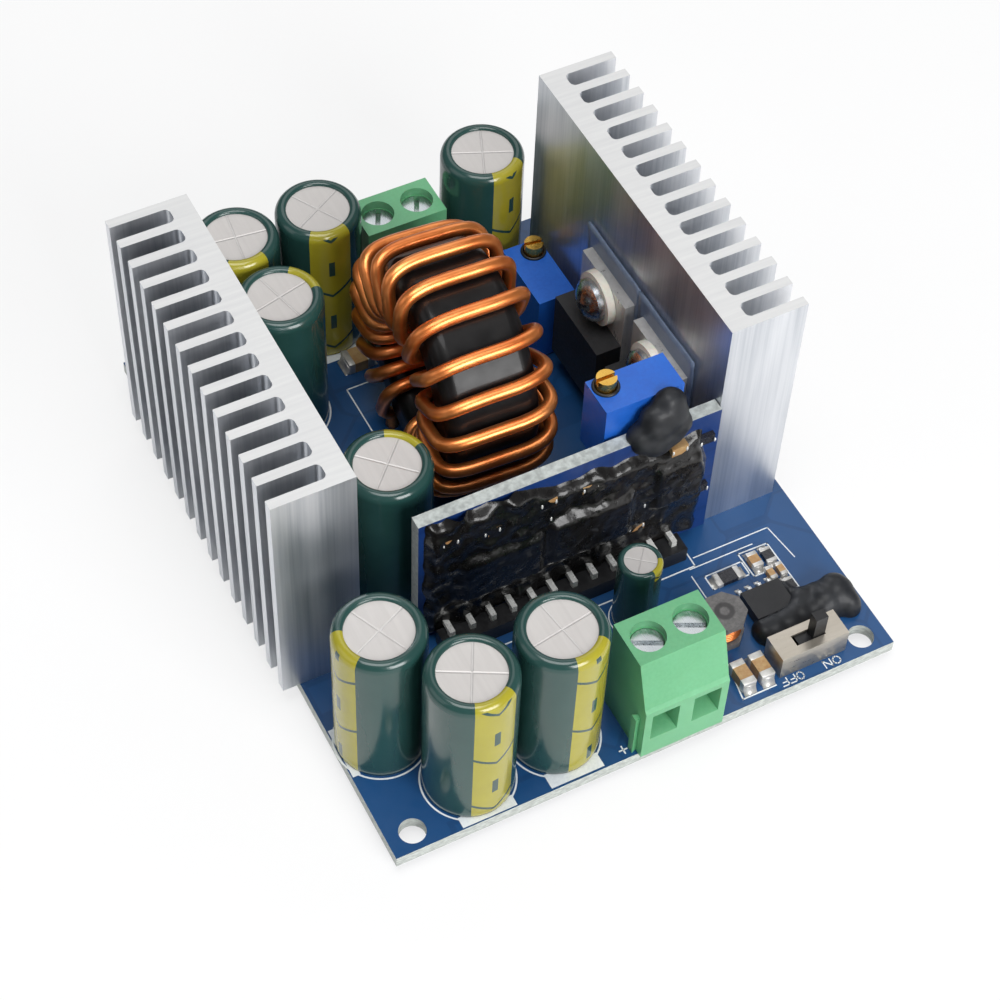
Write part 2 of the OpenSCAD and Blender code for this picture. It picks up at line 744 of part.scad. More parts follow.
// The switching driver and the parts round it stand behind the switch
driver = [4.9, 3.9, 1.5];
driver_lead = 1.2;       // length of board that its leads need, on each side
driver_x = switch_x - 0.55;
driver_y = switch_y + 7.15;
bulk_chips = [[switch_x - 8.1, switch_y], [switch_x - 5.75, switch_y]];
decoupling_chip = [switch_x + 1.2, switch_y + 12.9];
compensation_chips = [[switch_x + 2.05, switch_y + 10.6], [switch_x + 3.35, switch_y + 10.6]];
sense_resistor = [switch_x - 2.55, switch_y + 12.45];
divider_resistors = [[switch_x + 3.1, switch_y + 13], [switch_x + 3.2, switch_y + 8.3]];
rear_chip = [output_2[0] + 1.3, output_2[1] - 7.2];
coat_t = 0.5;

// Places on the control board, as shares of its width and height
function spot(u, v) = [u * control_w, v * control_h];
control_ics = [[spot(0.26, 0.45), 8.7, 7], [spot(0.56, 0.48), 8.7, 7], [spot(0.86, 0.6), 4.9, 4]];
control_capacitors = [spot(0.09, 0.83), spot(0.226, 0.79), spot(0.41, 0.84), spot(0.55, 0.83),
                      spot(0.727, 0.31), spot(0.85, 0.85)];
control_resistors = concat(
    [for (v = [0.36, 0.5, 0.65]) spot(0.09, v)],
    [for (v = [0.47, 0.64, 0.8]) spot(0.727, v)],
    [spot(0.4, 0.69), spot(0.95, 0.82), spot(0.95, 0.4)]
);
chip_l = 2;
chip_w = 1.25;
chip_h = 1;

module integrated_circuits() color("black") {
    on_board(driver_x, driver_y) small_outline(driver[0], driver[1], driver[2], 4);
    for (c = control_ics) on_control(c[0]) small_outline(c[1], 3.9, 1.5, c[2]);
}

small_chip = [0.8, 1.7, 0.8];
bulk_chip = [1.6, 3.2, 1.6];
wide_chip = [3.2, 2.5, 1.6];
module chip(p, size) on_board(p[0], p[1]) block(size);
module chip_capacitors() color("tan") {
    for (p = bulk_chips) chip(p, bulk_chip);
    chip(decoupling_chip, [chip_w, chip_l, chip_h]);
    for (p = compensation_chips) chip(p, small_chip);
    chip(rear_chip, wide_chip);
    for (c = control_capacitors) on_control(c) block([chip_l, chip_w, chip_h]);
}

resistor_h = 0.6;
sense_chip = [3.2, 1.6, resistor_h];
module chip_resistors() color("dimgrey") {
    chip(sense_resistor, sense_chip);
    for (p = divider_resistors) chip(p, [chip_w, chip_l, resistor_h]);
    for (c = control_resistors) on_control(c) block([chip_l, chip_w, resistor_h]);
}

// ---- Poured black sealant ----

// A blob is the hull of domes, each with its centre and radius
module blob(domes) hull()
    for (d = domes) translate([d[0], d[1], d[2]]) sphere(d[3], $fn = soft_fn);

driver_blob = [[-2.2, 4.4, 0, 1.6], [1.6, 5, 0, 2.2], [0, 8, -0.4, 2.2]];
edge_blob = [[2, 4.6, -0.6, 2.4], [6.2, 4.6, -0.4, 2.4], [7.2, 2.9, -0.4, 1.6]];
drop_blob = [[1.6, 0.4, -1.6, 1.3], [2.2, 1.8, 2.2, 1.7], [0.6, 1.6, 0.4, 1.2]];
keep_out = 0.2;
cut_h = 10;

// The coat on the control board leaves the packages standing out of it
coat_left = 1.2;
coat_right = 2.1;
coat_foot = 3.3;
coat_top = 2.2;
module control_coat() difference() {
    on_control([coat_left, coat_foot])
        cube([control_w - coat_left - coat_right, control_h - coat_foot - coat_top, coat_t]);
    for (c = control_ics) on_control(c[0])
        translate([0, 0, -cut]) block([c[1] + 0.1, 6, 3]);
    for (c = concat(control_capacitors, control_resistors)) on_control(c)
        translate([0, 0, -cut]) block([chip_l + 0.1, chip_w + 0.1, 3]);
}

// The bead that holds the driver and fills the way to the board's right edge
module driver_bead() difference() {
    intersection() {
        on_board(switch_x, switch_y) {
            blob(driver_blob);
            blob(edge_blob);
        }
        on_board(0, 0, seat_gap) cube([board_w, board_d, cut_h]);
    }
    on_board(driver_x, driver_y)
        block([driver[0] + 2 * seat_gap, driver[1] + 2 * driver_lead, cut_h]);
    on_board(switch_x, switch_y) block([switch_l + keep_out, switch_w + keep_out, cut_h]);
    for (p = divider_resistors) chip(p, [chip_w + keep_out, chip_l + keep_out, cut_h]);
    for (p = compensation_chips) chip(p, small_chip + [keep_out, keep_out, cut_h]);
    on_board(board_w - hole_inset_x, hole_inset_y) rod(hole_d / 2 + 2 * keep_out, cut_h);
}

// The drop that ties the voltage trimmer to the top of the control board
module trimmer_drop() difference() {
    on_board(voltage_x, control_y, control_h) blob(drop_blob);
    on_board(control_left, control_y - seat_gap, -seat_gap)
        cube([control_w, control_t + 2 * seat_gap, control_h + 2 * seat_gap]);
    at_voltage() translate([0, -seat_gap, 0])
        block([trimmer_l + 1, trimmer_w + 2 * seat_gap, trimmer_h + 2 * cut]);
}

module black_sealant() color("black") {
    control_coat();
    driver_bead();
    trimmer_drop();
}

// ---- Slide switch: the lever rests at the right, its closed side ----

shell_t = 0.3;
base_h = 1.3;
lever_l = 1.5;
lever_w = 1.2;
lever_h = 3.2;
slider_l = 4.8;
slot_l = lever_l + switch_travel + 2 * slide_fit;
slider_h = switch_h - shell_t - base_h - 2 * slide_fit;

module switch_shell() color("tan") on_board(switch_x, switch_y) difference() {
    block([switch_l, switch_w, switch_h]);
    translate([0, 0, -cut])
        block([switch_l - 2 * shell_t, switch_w - 2 * shell_t, switch_h - shell_t + cut]);
    block([slot_l, lever_w + 2 * slide_fit, switch_h + cut]);
}

module switch_base() color("black") on_board(switch_x, switch_y)
    block([switch_l - 2 * shell_t - seat_gap, switch_w - 2 * shell_t - seat_gap, base_h]);

module switch_slider() color("black")
    on_board(switch_x + switch_travel / 2, switch_y, base_h + slide_fit) {
        block([slider_l, switch_w - 2 * shell_t - 2 * slide_fit, slider_h]);
        block([lever_l, lever_w, slider_h + slide_fit + shell_t + lever_h]);
    }

// ---- One line for each node ----

circuit_board();
solder_joints();
heatsink_left();
heatsink_right();
big_can(input_1);  // input_can_1
big_can(input_2);  // input_can_2
big_can(input_3);  // input_can_3
big_can(middle_cap);  // middle_can
big_can(output_1);  // output_can_1
big_can(output_2);  // output_can_2
big_can(output_3);  // output_can_3
big_can(output_4);  // output_can_4
small_can();
big_sleeve(input_1);  // input_sleeve_1
big_sleeve(input_2);  // input_sleeve_2
big_sleeve(input_3);  // input_sleeve_3
big_sleeve(middle_cap);  // middle_sleeve
big_sleeve(output_1);  // output_sleeve_1
big_sleeve(output_2);  // output_sleeve_2
big_sleeve(output_3);  // output_sleeve_3
big_sleeve(output_4);  // output_sleeve_4
small_sleeve();
toroid_core();
toroid_winding();
at_input() terminal_housing();  // input_terminal_housing
at_output() terminal_housing();  // output_terminal_housing
terminal_contacts();
at_input() at_pole(0) clamp_screw(input_slot_turn);  // input_screw_1
at_input() at_pole(1) clamp_screw(input_slot_turn);  // input_screw_2
at_output() at_pole(0) clamp_screw(output_slot_turn);  // output_screw_1
at_output() at_pole(1) clamp_screw(output_slot_turn);  // output_screw_2
at_input() at_pole(0) cage();  // input_cage_1
at_input() at_pole(1) cage();  // input_cage_2
at_output() at_pole(0) cage();  // output_cage_1
at_output() at_pole(1) cage();  // output_cage_2
voltage_trimmer_body();
current_trimmer_body();
at_voltage() trimmer_screw(0);  // voltage_trimmer_screw
at_current() trimmer_screw(current_slot_turn);  // current_trimmer_screw
at_right(package_1) package_body();  // mosfet_1
at_right(package_2) package_body();  // mosfet_2
at_left() package_body();  // rectifier
transistor_tabs();
insulating_pads();
insulating_bushes();
fixing_screws();
control_board();
header_strip();
header_pins();
choke_drum();
choke_drum_winding();
integrated_circuits();
chip_capacitors();
chip_resistors();
black_sealant();
switch_shell();
switch_base();
switch_slider();
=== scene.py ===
"""Looks of the step-down converter module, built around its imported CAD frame. Metres."""

import json
import math

import bmesh
import bpy
from mathutils import Matrix, Vector, noise


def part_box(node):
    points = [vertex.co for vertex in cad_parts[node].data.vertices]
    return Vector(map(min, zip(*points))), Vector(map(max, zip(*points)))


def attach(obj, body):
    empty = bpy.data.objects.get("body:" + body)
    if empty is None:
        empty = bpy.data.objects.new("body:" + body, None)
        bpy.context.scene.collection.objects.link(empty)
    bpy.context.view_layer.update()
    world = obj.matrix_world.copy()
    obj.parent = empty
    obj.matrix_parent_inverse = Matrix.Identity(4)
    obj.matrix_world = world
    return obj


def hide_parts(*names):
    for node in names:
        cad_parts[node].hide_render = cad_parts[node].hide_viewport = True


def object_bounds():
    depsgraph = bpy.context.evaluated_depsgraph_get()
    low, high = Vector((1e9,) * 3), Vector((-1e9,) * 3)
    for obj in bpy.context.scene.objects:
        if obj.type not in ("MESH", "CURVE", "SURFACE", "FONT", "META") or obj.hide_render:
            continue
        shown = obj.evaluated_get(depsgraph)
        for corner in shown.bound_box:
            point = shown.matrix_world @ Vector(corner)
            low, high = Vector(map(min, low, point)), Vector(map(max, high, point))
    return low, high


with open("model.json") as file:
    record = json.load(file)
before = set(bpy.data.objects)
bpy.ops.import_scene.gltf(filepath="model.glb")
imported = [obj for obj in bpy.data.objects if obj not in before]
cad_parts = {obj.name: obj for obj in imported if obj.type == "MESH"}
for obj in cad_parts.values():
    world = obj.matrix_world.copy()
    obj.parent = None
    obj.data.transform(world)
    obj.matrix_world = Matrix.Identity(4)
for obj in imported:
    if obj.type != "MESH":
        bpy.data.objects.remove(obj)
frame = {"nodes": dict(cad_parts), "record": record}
cad_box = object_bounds()
nodes = frame["nodes"]
MM = 0.001
ROOT = "module"
scene = bpy.context.scene
board_lo, board_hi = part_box("circuit_board")
BOARD_TOP = board_hi.z
SLOT_OF = {s["node"]: s["material_slot"] for s in frame["record"]["subparts"]}


# ---- Material graphs ----

def srgb(*values):
    """A colour written as 0 to 255 values, in the shader's linear scale."""
    return tuple(((v / 255 + 0.055) / 1.055) ** 2.4 if v > 10 else v / 3300 for v in values) + (1.0,)


class Graph:
    """A material's node tree. Each call adds a node and returns its output socket."""

    def __init__(self, name, **constants):
        self.material = bpy.data.materials.new(name)
        self.material.use_nodes = True
        self.tree = self.material.node_tree
        self.shader = self.tree.nodes["Principled BSDF"]
        for key, value in constants.items():
            self.shader.inputs[key.replace("_", " ")].default_value = value
        self.place = self.node("TexCoord").outputs["Object"]

    def node(self, kind, **settings):
        made = self.tree.nodes.new("ShaderNode" + kind)
        for key, value in settings.items():
            setattr(made, key, value)
        return made

    def put(self, socket, value):
        if isinstance(value, bpy.types.NodeSocket):
            self.tree.links.new(value, socket)
        else:
            socket.default_value = value

    def set(self, key, value):
        self.put(self.shader.inputs[key], value)

    def math(self, operation, *values):
        made = self.node("Math", operation=operation)
        for socket, value in zip(made.inputs, values):
            self.put(socket, value)
        return made.outputs[0]

    def mix(self, factor, a, b):
        made = self.node("Mix", data_type="RGBA")
        for index, value in ((0, factor), (6, a), (7, b)):
            self.put(made.inputs[index], value)
        return made.outputs[2]

    def stretch(self, scale):
        made = self.node("Mapping")
        self.put(made.inputs["Vector"], self.place)
        made.inputs["Scale"].default_value = scale
        return made.outputs[0]

    def noise(self, scale, detail=4.0, stretch=None):
        made = self.node("TexNoise")
        self.put(made.inputs["Vector"], self.stretch(stretch) if stretch else self.place)
        for key, value in (("Scale", scale), ("Detail", detail), ("Roughness", 0.55)):
            made.inputs[key].default_value = value
        return made.outputs["Fac"]

    def span(self, value, a, b, low=0.0, high=1.0):
        made = self.node("MapRange")
        for socket, number in zip(made.inputs, (value, a, b, low, high)):
            self.put(socket, number)
        return made.outputs[0]

    def axes(self, vector=None):
        made = self.node("SeparateXYZ")
        self.put(made.inputs[0], vector or self.place)
        return made.outputs

    def normal(self):
        return self.axes(self.node("NewGeometry").outputs["Normal"])

    def bump(self, height, depth, strength):
        made = self.node("Bump")
        self.put(made.inputs["Height"], height)
        made.inputs["Distance"].default_value = depth
        made.inputs["Strength"].default_value = strength
        self.set("Normal", made.outputs[0])


def surface(name, dark, light, rough=(0.35, 0.5), grain=1500, depth=0.02, stretch=None, patch=150,
            **constants):
    """Colour and roughness that vary over patches, with a fine grain. Depth is in millimetres."""
    graph = Graph(name, **constants)
    broad = graph.noise(patch, 3, stretch)
    fine = graph.noise(grain, 5, stretch)
    both = graph.math("ADD", graph.math("MULTIPLY", broad, 0.6), graph.math("MULTIPLY", fine, 0.4))
    graph.set("Base Color", graph.mix(graph.span(both, 0.35, 0.65), dark, light))
    graph.set("Roughness", graph.span(fine, 0.3, 0.7, *rough))
    graph.bump(fine, depth * MM, 0.6)
    return graph.material


def board_finish(name, mask, gap, edge, thin_axis):
    """Solder mask over copper areas with darker gaps between them, and speckled cut edges."""
    graph = Graph(name, Specular_IOR_Level=0.4, Coat_Weight=0.25, Coat_Roughness=0.2)
    cells = []
    for feature in ("F1", "F2"):
        cell = graph.node("TexVoronoi", feature=feature, distance="CHEBYCHEV")
        graph.put(cell.inputs["Vector"], graph.place)
        cell.inputs["Scale"].default_value = 75
        cells.append(cell.outputs["Distance"])
    between = graph.math("SUBTRACT", cells[1], cells[0])
    track = graph.math("SUBTRACT", 1.0, graph.span(between, 0.018, 0.03))
    weave = graph.noise(2600, 2, (1, 0.2, 1))
    broad = graph.noise(70, 3)
    colour = graph.mix(graph.span(broad, 0.3, 0.7), mask, tuple(1.18 * v for v in mask[:3]) + (1,))
    colour = graph.mix(graph.math("MULTIPLY", track, 0.3), colour, gap)
    speck = graph.noise(1500, 4, (1, 1, 3))
    cut = graph.mix(graph.span(speck, 0.35, 0.65), edge, tuple(0.62 * v for v in edge[:3]) + (1,))
    face = graph.math("ABSOLUTE", graph.normal()[thin_axis])
    side = graph.math("LESS_THAN", face, 0.5)
    graph.set("Base Color", graph.mix(side, colour, cut))
    graph.set("Roughness", graph.math("MAXIMUM", graph.span(graph.noise(900), 0.3, 0.7, 0.28, 0.4),
                                      graph.math("MULTIPLY", side, 0.75)))
    relief = graph.math("ADD", graph.math("MULTIPLY", track, -0.3),
                        graph.math("MULTIPLY", weave, 0.2))
    graph.bump(relief, 0.03 * MM, 0.5)
    return graph.material


def extruded_finish(name):
    """Extruded aluminium: die lines along Z on the walls, a matt sawn finish on the cut ends."""
    graph = Graph(name)
    lines = graph.noise(2400, 4, (1, 1, 0.012))
    smear = graph.noise(220, 3, (1, 1, 0.12))
    saw = graph.noise(1700, 3, (0.05, 1, 1))
    cut = graph.math("GREATER_THAN", graph.math("ABSOLUTE", graph.normal()[2]), 0.5)
    wall = graph.mix(graph.span(lines, 0.3, 0.7), srgb(196, 200, 206), srgb(222, 224, 228))
    wall = graph.mix(graph.span(smear, 0.42, 0.75), wall, srgb(238, 239, 242))
    end = graph.mix(graph.span(saw, 0.3, 0.7), srgb(213, 213, 213), srgb(222, 222, 221))
    graph.set("Base Color", graph.mix(cut, wall, end))
    graph.set("Metallic", graph.span(cut, 0, 1, 0.95, 0.25))
    rough = graph.span(smear, 0.3, 0.7, 0.33, 0.44)
    graph.set("Roughness", graph.math("MAXIMUM", rough, graph.math("MULTIPLY", cut, 0.62)))
    graph.bump(graph.mix(cut, lines, saw), 0.03 * MM, 0.4)
    return graph.material


# The band on a 10 mm sleeve, in millimetres. The slope of its chevrons is down over sideways
BAND_HALF_WIDTH, BAND_BELOW_TOP, MARK_PITCH = 2.55, 0.5, 9.1
CHEVRON_LINE, CHEVRON_SLOPE, DASH_HALF_LENGTH, DASH_HALF_WIDTH = 0.42, 0.62, 1.15, 0.36


def sleeve_finish(name, centre, radius, top, band_angle, first_mark, scale, length):
    """Glossy shrunk sleeve with a yellow polarity band, thin chevrons and short dashes.

    The band goes down from the top by the length, in metres. first_mark is in millimetres."""
    graph = Graph(name, Specular_IOR_Level=0.45, Coat_Weight=0.3, Coat_Roughness=0.1)
    x, y, z = graph.axes()
    dx = graph.math("SUBTRACT", x, centre.x)
    dy = graph.math("SUBTRACT", y, centre.y)
    angle = math.radians(band_angle)
    along = graph.math("ADD", graph.math("MULTIPLY", dx, math.cos(angle)),
                       graph.math("MULTIPLY", dy, math.sin(angle)))
    aside = graph.math("SUBTRACT", graph.math("MULTIPLY", dy, math.cos(angle)),
                       graph.math("MULTIPLY", dx, math.sin(angle)))
    arc = graph.math("MULTIPLY", graph.math("ARCTAN2", aside, along), radius)
    off = graph.math("ABSOLUTE", arc)
    band = graph.math("LESS_THAN", off, BAND_HALF_WIDTH * MM * scale)
    depth = graph.math("SUBTRACT", top, z)
    pitch, width, first = (v * MM * scale for v in (MARK_PITCH, CHEVRON_LINE, first_mark))
    slope = graph.math("MULTIPLY", off, CHEVRON_SLOPE)
    sloped = graph.math("ADD", graph.math("ADD", depth, slope), -first)
    chevron = graph.math("PINGPONG", sloped, pitch / 2)
    line = graph.math("LESS_THAN", chevron, width / 2)
    phase = graph.math("PINGPONG", graph.math("ADD", depth, -(first + pitch / 2)), pitch / 2)
    dash = graph.math("MULTIPLY", graph.math("LESS_THAN", phase, DASH_HALF_LENGTH * MM * scale),
                      graph.math("LESS_THAN", off, DASH_HALF_WIDTH * MM * scale))
    below = graph.math("GREATER_THAN", depth, BAND_BELOW_TOP * MM * scale)
    marks = graph.math("MULTIPLY", graph.math("MAXIMUM", line, dash), below)
    band = graph.math("MULTIPLY", band, graph.math("LESS_THAN", depth, length))
    show = graph.math("MULTIPLY", band, graph.math("SUBTRACT", 1.0, marks))
    mottle = graph.noise(300, 3)
    base = graph.mix(mottle, srgb(30, 63, 59), srgb(40, 73, 69))
    yellow = graph.mix(mottle, srgb(148, 140, 36), srgb(168, 159, 46))
    graph.set("Base Color", graph.mix(show, base, yellow))
    graph.set("Roughness", graph.span(mottle, 0.3, 0.7, 0.16, 0.26))
    graph.bump(graph.noise(420, 2, (1, 1, 0.4)), 0.12 * MM, 0.25)
    return graph.material


def disc_finish(name, centre=(0, 0, 0), turn=0.0, scale=1.0):
    """Satin drawn aluminium with the cross of the vent pressed in."""
    graph = Graph(name, Metallic=0.35)
    lines = graph.noise(1500, 3, (1, 0.06, 1))
    x, y, _ = graph.axes()
    dx, dy = graph.math("SUBTRACT", x, centre[0]), graph.math("SUBTRACT", y, centre[1])
    c, d = math.cos(math.radians(turn)), math.sin(math.radians(turn))
    grooves = []
    for u, v in ((c, d), (-d, c)):
        off = graph.math("ABSOLUTE", graph.math("ADD", graph.math("MULTIPLY", dx, u),
                                                graph.math("MULTIPLY", dy, v)))
        grooves.append(graph.span(off, 0.16 * MM * scale, 0.03 * MM * scale))
    cross = graph.math("MAXIMUM", *grooves)
    plain = graph.mix(graph.span(lines, 0.3, 0.7), srgb(194, 190, 187), srgb(203, 199, 196))
    pale = graph.math("MULTIPLY", cross, 0.3)
    graph.set("Base Color", graph.mix(pale, plain, srgb(226, 224, 222)))
    graph.set("Roughness", graph.span(lines, 0.3, 0.7, 0.42, 0.55))
    graph.bump(graph.math("SUBTRACT", graph.math("MULTIPLY", lines, 0.06), cross), 0.1 * MM, 0.6)
    return graph.material


def copper_finish(name):
    """Clear amber enamel over drawn copper."""
    graph = Graph(name, Metallic=0.85, Coat_Weight=0.35, Coat_Roughness=0.2)
    broad = graph.noise(260, 3)
    fine = graph.noise(900, 2)
    colour = graph.mix(graph.span(broad, 0.3, 0.7), srgb(218, 117, 54), srgb(244, 154, 84))
    graph.set("Base Color", colour)
    graph.set("Roughness", graph.span(fine, 0.3, 0.7, 0.3, 0.38))
    graph.bump(fine, 0.006 * MM, 0.3)
    return graph.material


def pad_finish(name):
    """Pale blue translucent silicone sheet."""
    return surface(name, srgb(126, 146, 178), srgb(160, 178, 206), (0.28, 0.42), 1800, 0.01,
                   Transmission_Weight=0.55, IOR=1.41, Specular_IOR_Level=0.6)


def ferrite_finish(name):
    """Sintered ferrite with the dark ring that marks the top of the drum."""
    graph = Graph(name)
    lo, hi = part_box("choke_drum")
    x, y, _ = graph.axes()
    dx = graph.math("SUBTRACT", x, (lo.x + hi.x) / 2)
    dy = graph.math("SUBTRACT", y, (lo.y + hi.y) / 2)
    squares = [graph.math("MULTIPLY", d, d) for d in (dx, dy)]
    away = graph.math("SQRT", graph.math("ADD", *squares))
    off_ring = graph.math("ABSOLUTE", graph.math("SUBTRACT", away, 0.85 * MM))
    dark = graph.math("MULTIPLY", graph.span(off_ring, 0.42 * MM, 0.2 * MM),
                      graph.math("GREATER_THAN", graph.normal()[2], 0.5))
    fine = graph.noise(2400, 5)
    grey = graph.mix(graph.span(fine, 0.3, 0.7), srgb(84, 82, 82), srgb(112, 109, 108))
    graph.set("Base Color", graph.mix(graph.math("MULTIPLY", dark, 0.8), grey, srgb(44, 42, 43)))
    graph.set("Roughness", graph.span(fine, 0.3, 0.7, 0.4, 0.55))
    graph.bump(fine, 0.03 * MM, 0.5)
    return graph.material


# The materials of the record's slots, apart from those of the sleeves, and three of the scene's
# own: chip_tin, sealant_dull and print_white
MATERIALS = {
    "board_blue": board_finish("board_blue", srgb(23, 68, 115), srgb(14, 48, 87),
                               srgb(196, 201, 196), 2),
    "control_blue": board_finish("control_blue", srgb(20, 50, 106), srgb(14, 36, 84),
                                 srgb(188, 194, 191), 1),
    "extruded_aluminium": extruded_finish("extruded_aluminium"),
    "can_aluminium": disc_finish("can_aluminium"),
    "copper_wire": copper_finish("copper_wire"),
    "pad_silicone": pad_finish("pad_silicone"),
    "tin": surface("tin", srgb(220, 220, 216), srgb(244, 244, 242), (0.2, 0.34), 1400, 0.03,
                   Metallic=0.35),
    "chip_tin": surface("chip_tin", srgb(176, 174, 170), srgb(214, 212, 208), (0.32, 0.46), 1600,
                        0.02, Metallic=0.55),
    "core_black": surface("core_black", srgb(13, 12, 13), srgb(24, 23, 23), (0.3, 0.42), 500, 0.05,
                          Specular_IOR_Level=0.22, Coat_Weight=0.12, Coat_Roughness=0.05),
    "terminal_green": surface("terminal_green", srgb(92, 163, 115), srgb(104, 175, 127),
                              (0.34, 0.44), 2600, 0.01, Specular_IOR_Level=0.6,
                              Subsurface_Weight=0.08, Subsurface_Scale=0.001),
    "screw_steel": surface("screw_steel", srgb(170, 176, 180), srgb(214, 218, 220), (0.2, 0.34),
                           1800, 0.02, (1, 0.2, 1), Metallic=1.0),
    "trimmer_blue": surface("trimmer_blue", srgb(24, 88, 184), srgb(34, 104, 202), (0.34, 0.48),
                            2400, 0.015),
    "brass_screw": surface("brass_screw", srgb(196, 150, 66), srgb(228, 186, 96), (0.22, 0.36),
                           2200, 0.03, Metallic=1.0),
    "package_black": surface("package_black", srgb(26, 26, 28), srgb(42, 42, 44), (0.45, 0.62),
                             3200, 0.03),
    "tab_metal": surface("tab_metal", srgb(196, 194, 190), srgb(224, 222, 218), (0.26, 0.4), 1500,
                         0.01, (1, 1, 0.15), Metallic=0.55),
    "bush_nylon": surface("bush_nylon", srgb(216, 210, 196), srgb(238, 234, 224), (0.35, 0.5), 1800,
                          0.01, Subsurface_Weight=0.2, Subsurface_Scale=0.001),
    "strip_black": surface("strip_black", srgb(18, 18, 20), srgb(32, 32, 34), (0.3, 0.45), 2200,
                           0.02),
    "ferrite": ferrite_finish("ferrite"),
    "chip_ceramic": surface("chip_ceramic", srgb(150, 96, 48), srgb(186, 158, 112), (0.3, 0.42),
                            2000, 0.015, patch=260),
    "chip_black": surface("chip_black", srgb(28, 28, 32), srgb(46, 46, 50), (0.2, 0.35), 2000,
                          0.01),
    "sealant": surface("sealant", srgb(11, 10, 10), srgb(24, 22, 21), (0.2, 0.4), 800, 0.22,
                       Specular_IOR_Level=0.3, Coat_Weight=0.3, Coat_Roughness=0.05),
    "sealant_dull": surface("sealant_dull", srgb(20, 21, 24), srgb(38, 40, 44), (0.42, 0.56), 600,
                            0.03, Specular_IOR_Level=0.32, Coat_Weight=0.06, Coat_Roughness=0.15),
    "print_white": surface("print_white", srgb(206, 212, 216), srgb(234, 238, 240), (0.45, 0.6),
                           3000, 0.01),
    "shell_nickel": surface("shell_nickel", srgb(174, 166, 152), srgb(200, 192, 180), (0.26, 0.38),
                            1600, 0.015, (0.2, 1, 1), Metallic=0.85),
}


def dress(obj, material):
    """Every face of obj gets this material."""
    obj.data.materials.clear()
    obj.data.materials.append(material)


def soften(obj, width):
    """Rounds the edges that turn by more than 40 degrees. The width is in millimetres."""
    bevel = obj.modifiers.new("Soft edges", "BEVEL")
    bevel.width = width * MM
    bevel.segments = 2
    bevel.limit_method = "ANGLE"
    bevel.angle_limit = math.radians(40)
    bevel.use_clamp_overlap = True
    bevel.harden_normals = True


for name, obj in nodes.items():
    if SLOT_OF[name] in MATERIALS:
        dress(obj, MATERIALS[SLOT_OF[name]])

# ---- Mesh helpers. Places are in millimetres from the board's front left corner ----

def at(x, y, z):
    """A place on the board, with z from its top face, as a point in metres."""
    return Vector((board_lo.x + x * MM, board_lo.y + y * MM, BOARD_TOP + z * MM))


def piece(name, mesh, slot, replaced=(), material=None, body=ROOT, smooth=True):
    """Makes an object of a bmesh, and lets it ride on a body."""
    data = bpy.data.meshes.new(name)
    bmesh.ops.recalc_face_normals(mesh, faces=mesh.faces)
    mesh.to_mesh(data)
    mesh.free()
    if smooth:
        data.shade_smooth()
    obj = bpy.data.objects.new(name, data)
    scene.collection.objects.link(obj)
    dress(obj, material or MATERIALS[slot])
    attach(obj, body)
    if replaced:
        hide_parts(*replaced)
    return obj


def solids(node):
    """The lowest and highest corner of each separate solid of a CAD node."""
    mesh = nodes[node].data
    parent = list(range(len(mesh.vertices)))

    def root(i):
        while parent[i] != i:
            parent[i] = parent[parent[i]]
            i = parent[i]
        return i

    merged = {}
    for vertex in mesh.vertices:
        key = tuple(round(c * 1e6) for c in vertex.co)
        parent[vertex.index] = root(merged.setdefault(key, vertex.index))
    for polygon in mesh.polygons:
        first = root(polygon.vertices[0])
        for index in polygon.vertices[1:]:
            parent[root(index)] = first
    boxes = {}
    for vertex in mesh.vertices:
        boxes.setdefault(root(vertex.index), []).append(vertex.co)
    return [(Vector(min(c[k] for c in points) for k in range(3)),
             Vector(max(c[k] for c in points) for k in range(3))) for points in boxes.values()]


def tube(mesh, route, radius, sides):
    """Sweeps a round section along a list of points and closes both ends."""
    normal = Vector((0.13, 0.21, 0.97))
    rings = []
    for i, point in enumerate(route):
        ahead = (route[min(i + 1, len(route) - 1)] - route[max(i - 1, 0)]).normalized()
        normal = (normal - normal.dot(ahead) * ahead).normalized()
        other = ahead.cross(normal)
        turns = [2 * math.pi * k / sides for k in range(sides)]
        rings.append([mesh.verts.new(point + radius * (math.cos(t) * normal + math.sin(t) * other))
                      for t in turns])
    for a, b in zip(rings, rings[1:]):
        for k in range(sides):
            mesh.faces.new((a[k], a[(k + 1) % sides], b[(k + 1) % sides], b[k]))
    mesh.faces.new(rings[0])
    mesh.faces.new(rings[-1])


def block(mesh, lo, hi, round_off):
    """A box between two corners, with its edges rounded off by so many millimetres."""
    made = bmesh.ops.create_cube(mesh, size=1.0)["verts"]
    for vertex in made:
        vertex.co = Vector(lo[k] if vertex.co[k] < 0 else hi[k] for k in range(3))
    edges = dict.fromkeys(edge for vertex in made for edge in vertex.link_edges)
    bmesh.ops.bevel(mesh, geom=list(edges), offset=round_off * MM, segments=2, affect="EDGES",
                    profile=0.5)


def lumpy_ball(mesh, centre, radii, subdivisions, lump, fine, seed):
    """A stretched ball that noise pushes in and out by the share called lump."""
    for vertex in bmesh.ops.create_icosphere(mesh, subdivisions=subdivisions, radius=1.0)["verts"]:
        grow = 1 + lump * noise.noise(Vector(vertex.co) * fine + centre * seed)
        vertex.co = centre + Vector(vertex.co[k] * radii[k] * grow * MM for k in range(3))


